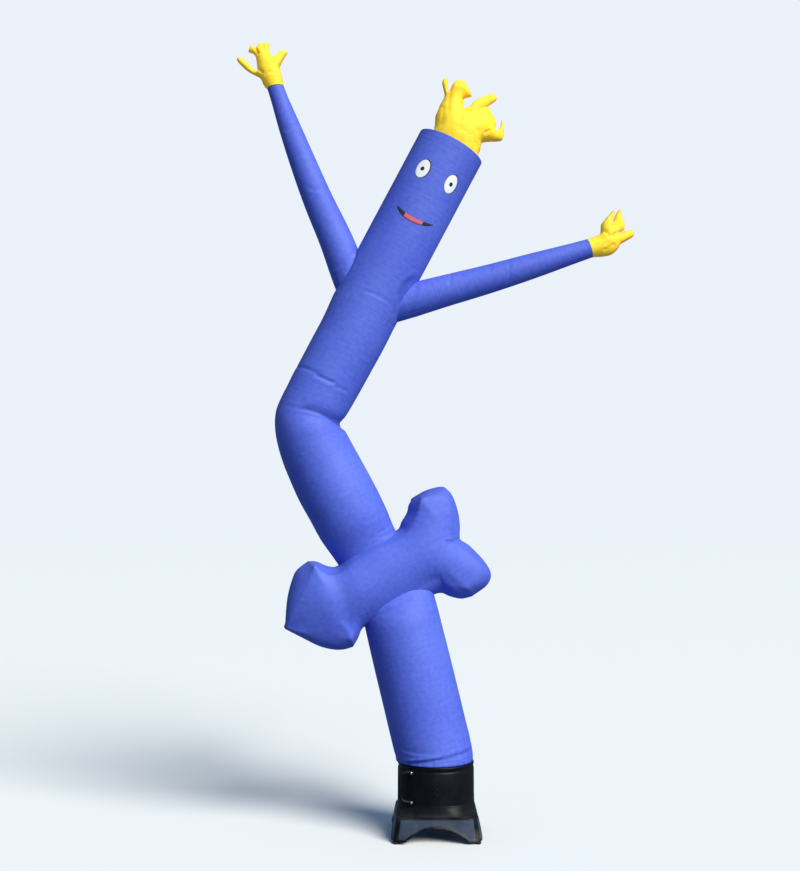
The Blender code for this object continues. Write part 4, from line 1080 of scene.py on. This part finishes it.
def turned(name, profile, material, place=Matrix(), segments=48, rounding=0.0006):
    """A turned form: a profile of radius and height in mm, swept round its own z axis and placed."""
    turn = np.linspace(0.0, 2.0 * math.pi, segments, endpoint=False)
    radius, height = np.array(profile).T[..., None] / 1000.0
    rows = np.stack((radius * np.cos(turn), radius * np.sin(turn), height + 0.0 * turn), -1)
    mesh = joined(through_rows(name, rows)[0])
    mesh.transform(place)
    return rounded_edges(shown(name, mesh, material), rounding)


def lofted(name, rows, material):
    return shown(name, through_rows(name, rows)[0], material)


def square_round(half, exponent, turn):
    """A section between a circle and a rounded square."""
    c, s = np.cos(turn), np.sin(turn)
    reach = (np.abs(c) ** exponent + np.abs(s) ** exponent) ** (-1.0 / exponent)
    return half * reach * c, half * reach * s


barrel = turned("blower_barrel_shell", barrel_profile, housing_plastic, segments=128)
fitted(barrel, "blower_barrel")
skirt_turn = np.linspace(0.0, 2.0 * math.pi, 192, endpoint=False)
skirt = lofted("barrel_skirt_shell", [
    np.column_stack((*square_round(half / 1000.0, exponent, skirt_turn), height / 1000.0 + 0.0 * skirt_turn))
    for height, half, exponent in skirt_rows[::-1]], housing_plastic)
fitted(skirt, "barrel_skirt")


# The stand: one rotational moulding of dark plastic, flared to its feet, with a fat rolled corner at
# each side, a bead round each arch and a satin panel between them with a paler painted reflection.
# the last colour is the panels' painted reflection
stand_plastic = plastic("stand_plastic", (0.0028, 0.0030, 0.0050, 1.0), (0.0060, 0.0066, 0.0100, 1.0),
                        0.38, 0.0002, (0.036, 0.052, 0.086, 1.0))
arch_radius = 0.267
arch_top = 0.088
stand_foot = 0.0128
stand_columns = 384
bead = 0.0055
top_rounding = 0.007
# share of the way up the side, half width in mm, exponent
stand_flare = (
    (0, 268, 7.5), (0.25, 263, 7.5), (0.55, 255, 8), (0.86, 247, 8.5), (1, 242.5, 8.5),
)
stand_turn = np.linspace(0.0, 2.0 * math.pi, stand_columns, endpoint=False)
stand_x, stand_y = square_round(0.2650, 7.5, stand_turn)
along_side = np.where(np.abs(stand_x) > np.abs(stand_y), stand_y, stand_x)
arch_edge = arch_top - arch_radius + np.sqrt(np.maximum(arch_radius ** 2 - along_side ** 2, 0.0))
arch_edge = np.maximum(arch_edge, stand_foot)


def stand_row(height, proud):
    """A row round the stand at heights for each column, stood out from the side by proud."""
    share = np.clip((height - stand_foot) / (deck_height - stand_foot), 0.0, 1.0)
    levels, halves, exponents = zip(*stand_flare)
    half = np.interp(share, levels, np.array(halves) / 1000.0)
    x, y = square_round(half + proud, np.interp(share, levels, exponents), stand_turn)
    return np.column_stack((x, y, height + 0.0 * stand_turn))


stand_rows = [stand_row(arch_edge + up, proud) for up, proud in
              ((0.030, -0.0080), (0.004, -0.0080), (0.0, -0.0050), (0.0, -0.0010))]
for turn in np.radians(np.arange(-60, 91, 30)):
    stand_rows.append(stand_row(arch_edge + bead * (1.0 + math.sin(turn)), 0.0030 * math.cos(turn)))
side_foot = arch_edge + 2.4 * bead
for level in np.linspace(0.0, 1.0, 14)[1:]:
    stand_rows.append(stand_row(side_foot + (deck_height - top_rounding - side_foot) * level, -0.0004))
for turn in np.radians(np.arange(15, 91, 15)):
    stand_rows.append(stand_row(deck_height - top_rounding * (1.0 - math.sin(turn)),
                                -top_rounding * (1.0 - math.cos(turn))))
stand_rows.append(stand_row(deck_height, -0.040))
stand = lofted("blower_base_shell", stand_rows, stand_plastic)
panel_half = 0.228
above_arch, below_deck, panel_fade = 0.014, 0.009, 0.006
corner_gap = panel_half - np.abs(along_side)
stand_heights = np.array(stand_rows)[..., 2]
# how far inside the panel each point lies, which places the painted reflection
painted_reflection_inside = np.minimum(np.minimum(corner_gap, stand_heights - arch_edge - above_arch),
                          deck_height - below_deck - stand_heights)
mark(stand.data, PAINTED_REFLECTION, smooth(painted_reflection_inside / panel_fade))
fitted(stand, "blower_base")


# The handle and fittings: a moulded grip whose two pads are bolted to the barrel, two cover screws at
# the front, the mains inlet at the back and four rubber feet.
steel = Finish("bolt_steel", Base_Color=(0.62, 0.64, 0.67, 1.0), Metallic=1.0)
brushed = steel.noise(steel.drawn_out(steel.node("TexCoord", None, None, 3), (40.0, 40.0, 2400.0)), 1.0)
steel.surface(Roughness=brushed * 0.30 + 0.16, Normal=steel.bump(brushed, 0.0001, 0.5))
blackened = Finish("black_steel", Base_Color=(0.030, 0.030, 0.034, 1.0), Metallic=1.0, Roughness=0.42)
rubber = Finish("foot_rubber", Base_Color=(0.016, 0.016, 0.017, 1.0))
rubber_wear = rubber.noise(rubber.node("TexCoord", None, None, 3), 160.0, 4.0)
rubber.surface(Base_Color=rubber.mix(rubber_wear, (0.010, 0.010, 0.011, 1.0), (0.035, 0.034, 0.032, 1.0)),
               Roughness=rubber_wear * 0.2 + 0.68, Normal=rubber.bump(rubber_wear, 0.0005, 0.5))

barrel_radius = 0.2290
grip_radius = 0.0112
pad_angle = math.radians(-42.0)
pad_size = (0.056, 0.009, 0.034)
pad_lift = 0.0016
fixing_heights = {"top": 0.3960, "bottom": 0.2240}
bolt_shift = 0.0150
# degrees to the right of the front, stand-off from the barrel and height in mm
handle_path = (
    (-43, 5, 395.5), (-44.5, 13, 395.7), (-46.5, 24, 394.5), (-49, 38, 386), (-50.5, 45, 364),
    (-50.5, 46, 310), (-50.5, 45, 256), (-49, 38, 234), (-46.5, 24, 225.5), (-44.5, 13, 224.3),
    (-43, 5, 224.5),
)


def facing(angle, radius, height, shift=0.0):
    """A place on the barrel whose z axis looks straight out, shifted along the barrel's face."""
    out = Matrix.Translation((radius * math.sin(angle), -radius * math.cos(angle), height))
    aside = Matrix.Rotation(angle, 4, "Z") @ Matrix.Translation((shift, 0.0, 0.0))
    return out @ aside @ Matrix.Rotation(math.pi / 2, 4, "X")


degrees, off, height = np.array(handle_path).T
angle, radius = np.radians(degrees), barrel_radius + off / 1000.0
grip_points = np.column_stack((radius * np.sin(angle), -radius * np.cos(angle), height / 1000.0))
grip_line = spread(grip_points, 0.004)[0]
grip_way = np.gradient(grip_line, axis=0)
grip_way /= np.linalg.norm(grip_way, axis=1)[:, None]
sideways = np.array((math.cos(pad_angle), math.sin(pad_angle), 0.0))
grip_side = sideways - (grip_way @ sideways)[:, None] * grip_way
grip_side /= np.linalg.norm(grip_side, axis=1)[:, None]
grip_out = np.cross(grip_way, grip_side)
grip_turn = np.linspace(0.0, 2.0 * math.pi, 24, endpoint=False)[None, :, None]
middle_share = np.abs(np.linspace(-1.0, 1.0, len(grip_line)))
grip_thick = (grip_radius + 0.0012 * smooth((0.55 - middle_share) / 0.1))[:, None, None]
grip_section = np.cos(grip_turn) * grip_side[:, None] + np.sin(grip_turn) * grip_out[:, None]
grip = lofted("handle_grip", grip_line[:, None] + grip_thick * grip_section, housing_plastic)
pads = bmesh.new()
for height in fixing_heights.values():
    made = bmesh.ops.create_cube(pads, size=1.0)["verts"]
    bmesh.ops.scale(pads, vec=(pad_size[0], pad_size[2], pad_size[1]), verts=made)
    pad_place = facing(pad_angle, barrel_radius + pad_lift + pad_size[1] / 2, height)
    bmesh.ops.transform(pads, matrix=pad_place, verts=made)
pads_mesh = bpy.data.meshes.new("handle_pads")
pads.to_mesh(pads_mesh)
pads.free()
handle_pads = rounded_edges(shown("handle_pads", pads_mesh, housing_plastic), 0.0040, 4)
fitted(grip, "carry_handle")
fitted(handle_pads, "carry_handle")

# a washer with a domed head that has a driver's hole: radius, height, mm
bolt_profile = (
    (9.8, 0), (9.8, 1.2), (7.6, 1.4), (7.6, 2.2), (7, 3.8), (5.6, 5), (3.6, 5.6), (3.2, 5.6), (3, 3),
    (0, 3),
)
screw_size = 0.62
screw_profile = tuple((radius * screw_size, depth * screw_size) for radius, depth in bolt_profile)
for side, height in fixing_heights.items():
    bolt_place = facing(pad_angle, barrel_radius + pad_lift + pad_size[1], height, bolt_shift)
    bolt = turned(f"handle_bolt_{side}_head", bolt_profile, steel.material, bolt_place, 36, 0.0002)
    fitted(bolt, "handle_bolt_" + side)
for side, height in (("top", 0.307), ("bottom", 0.275)):
    screw = turned(f"cover_screw_{side}_head", screw_profile, blackened.material,
                   facing(0.0, barrel_radius, height), 36, 0.0002)
    fitted(screw, "cover_screw_" + side)
inlet_profile = (
    (20, 0), (20, 4), (16.5, 5.5), (16, 19), (14.5, 20.5), (12.5, 20.5), (12, 11), (0, 11),
)
inlet_place = facing(math.pi, barrel_radius, 0.235)
inlet = turned("power_inlet_socket", inlet_profile, housing_plastic, inlet_place, rounding=0.0005)
fitted(inlet, "power_inlet")
foot_profile = (
    (0, 0), (14, 0), (15.8, 1.2), (17.2, 5), (18.6, 5.6), (18.8, 8), (19, 11.5), (0, 11.8),
)
foot_out = 0.238
for number, (x, y) in enumerate(((1, -1), (1, 1), (-1, 1), (-1, -1)), 1):
    foot_place = Matrix.Translation((x * foot_out, y * foot_out, 0.0))
    foot = turned(f"foot_{number}_pad", foot_profile, rubber.material, foot_place, 40, 0.0005)
    fitted(foot, f"foot_{number}")
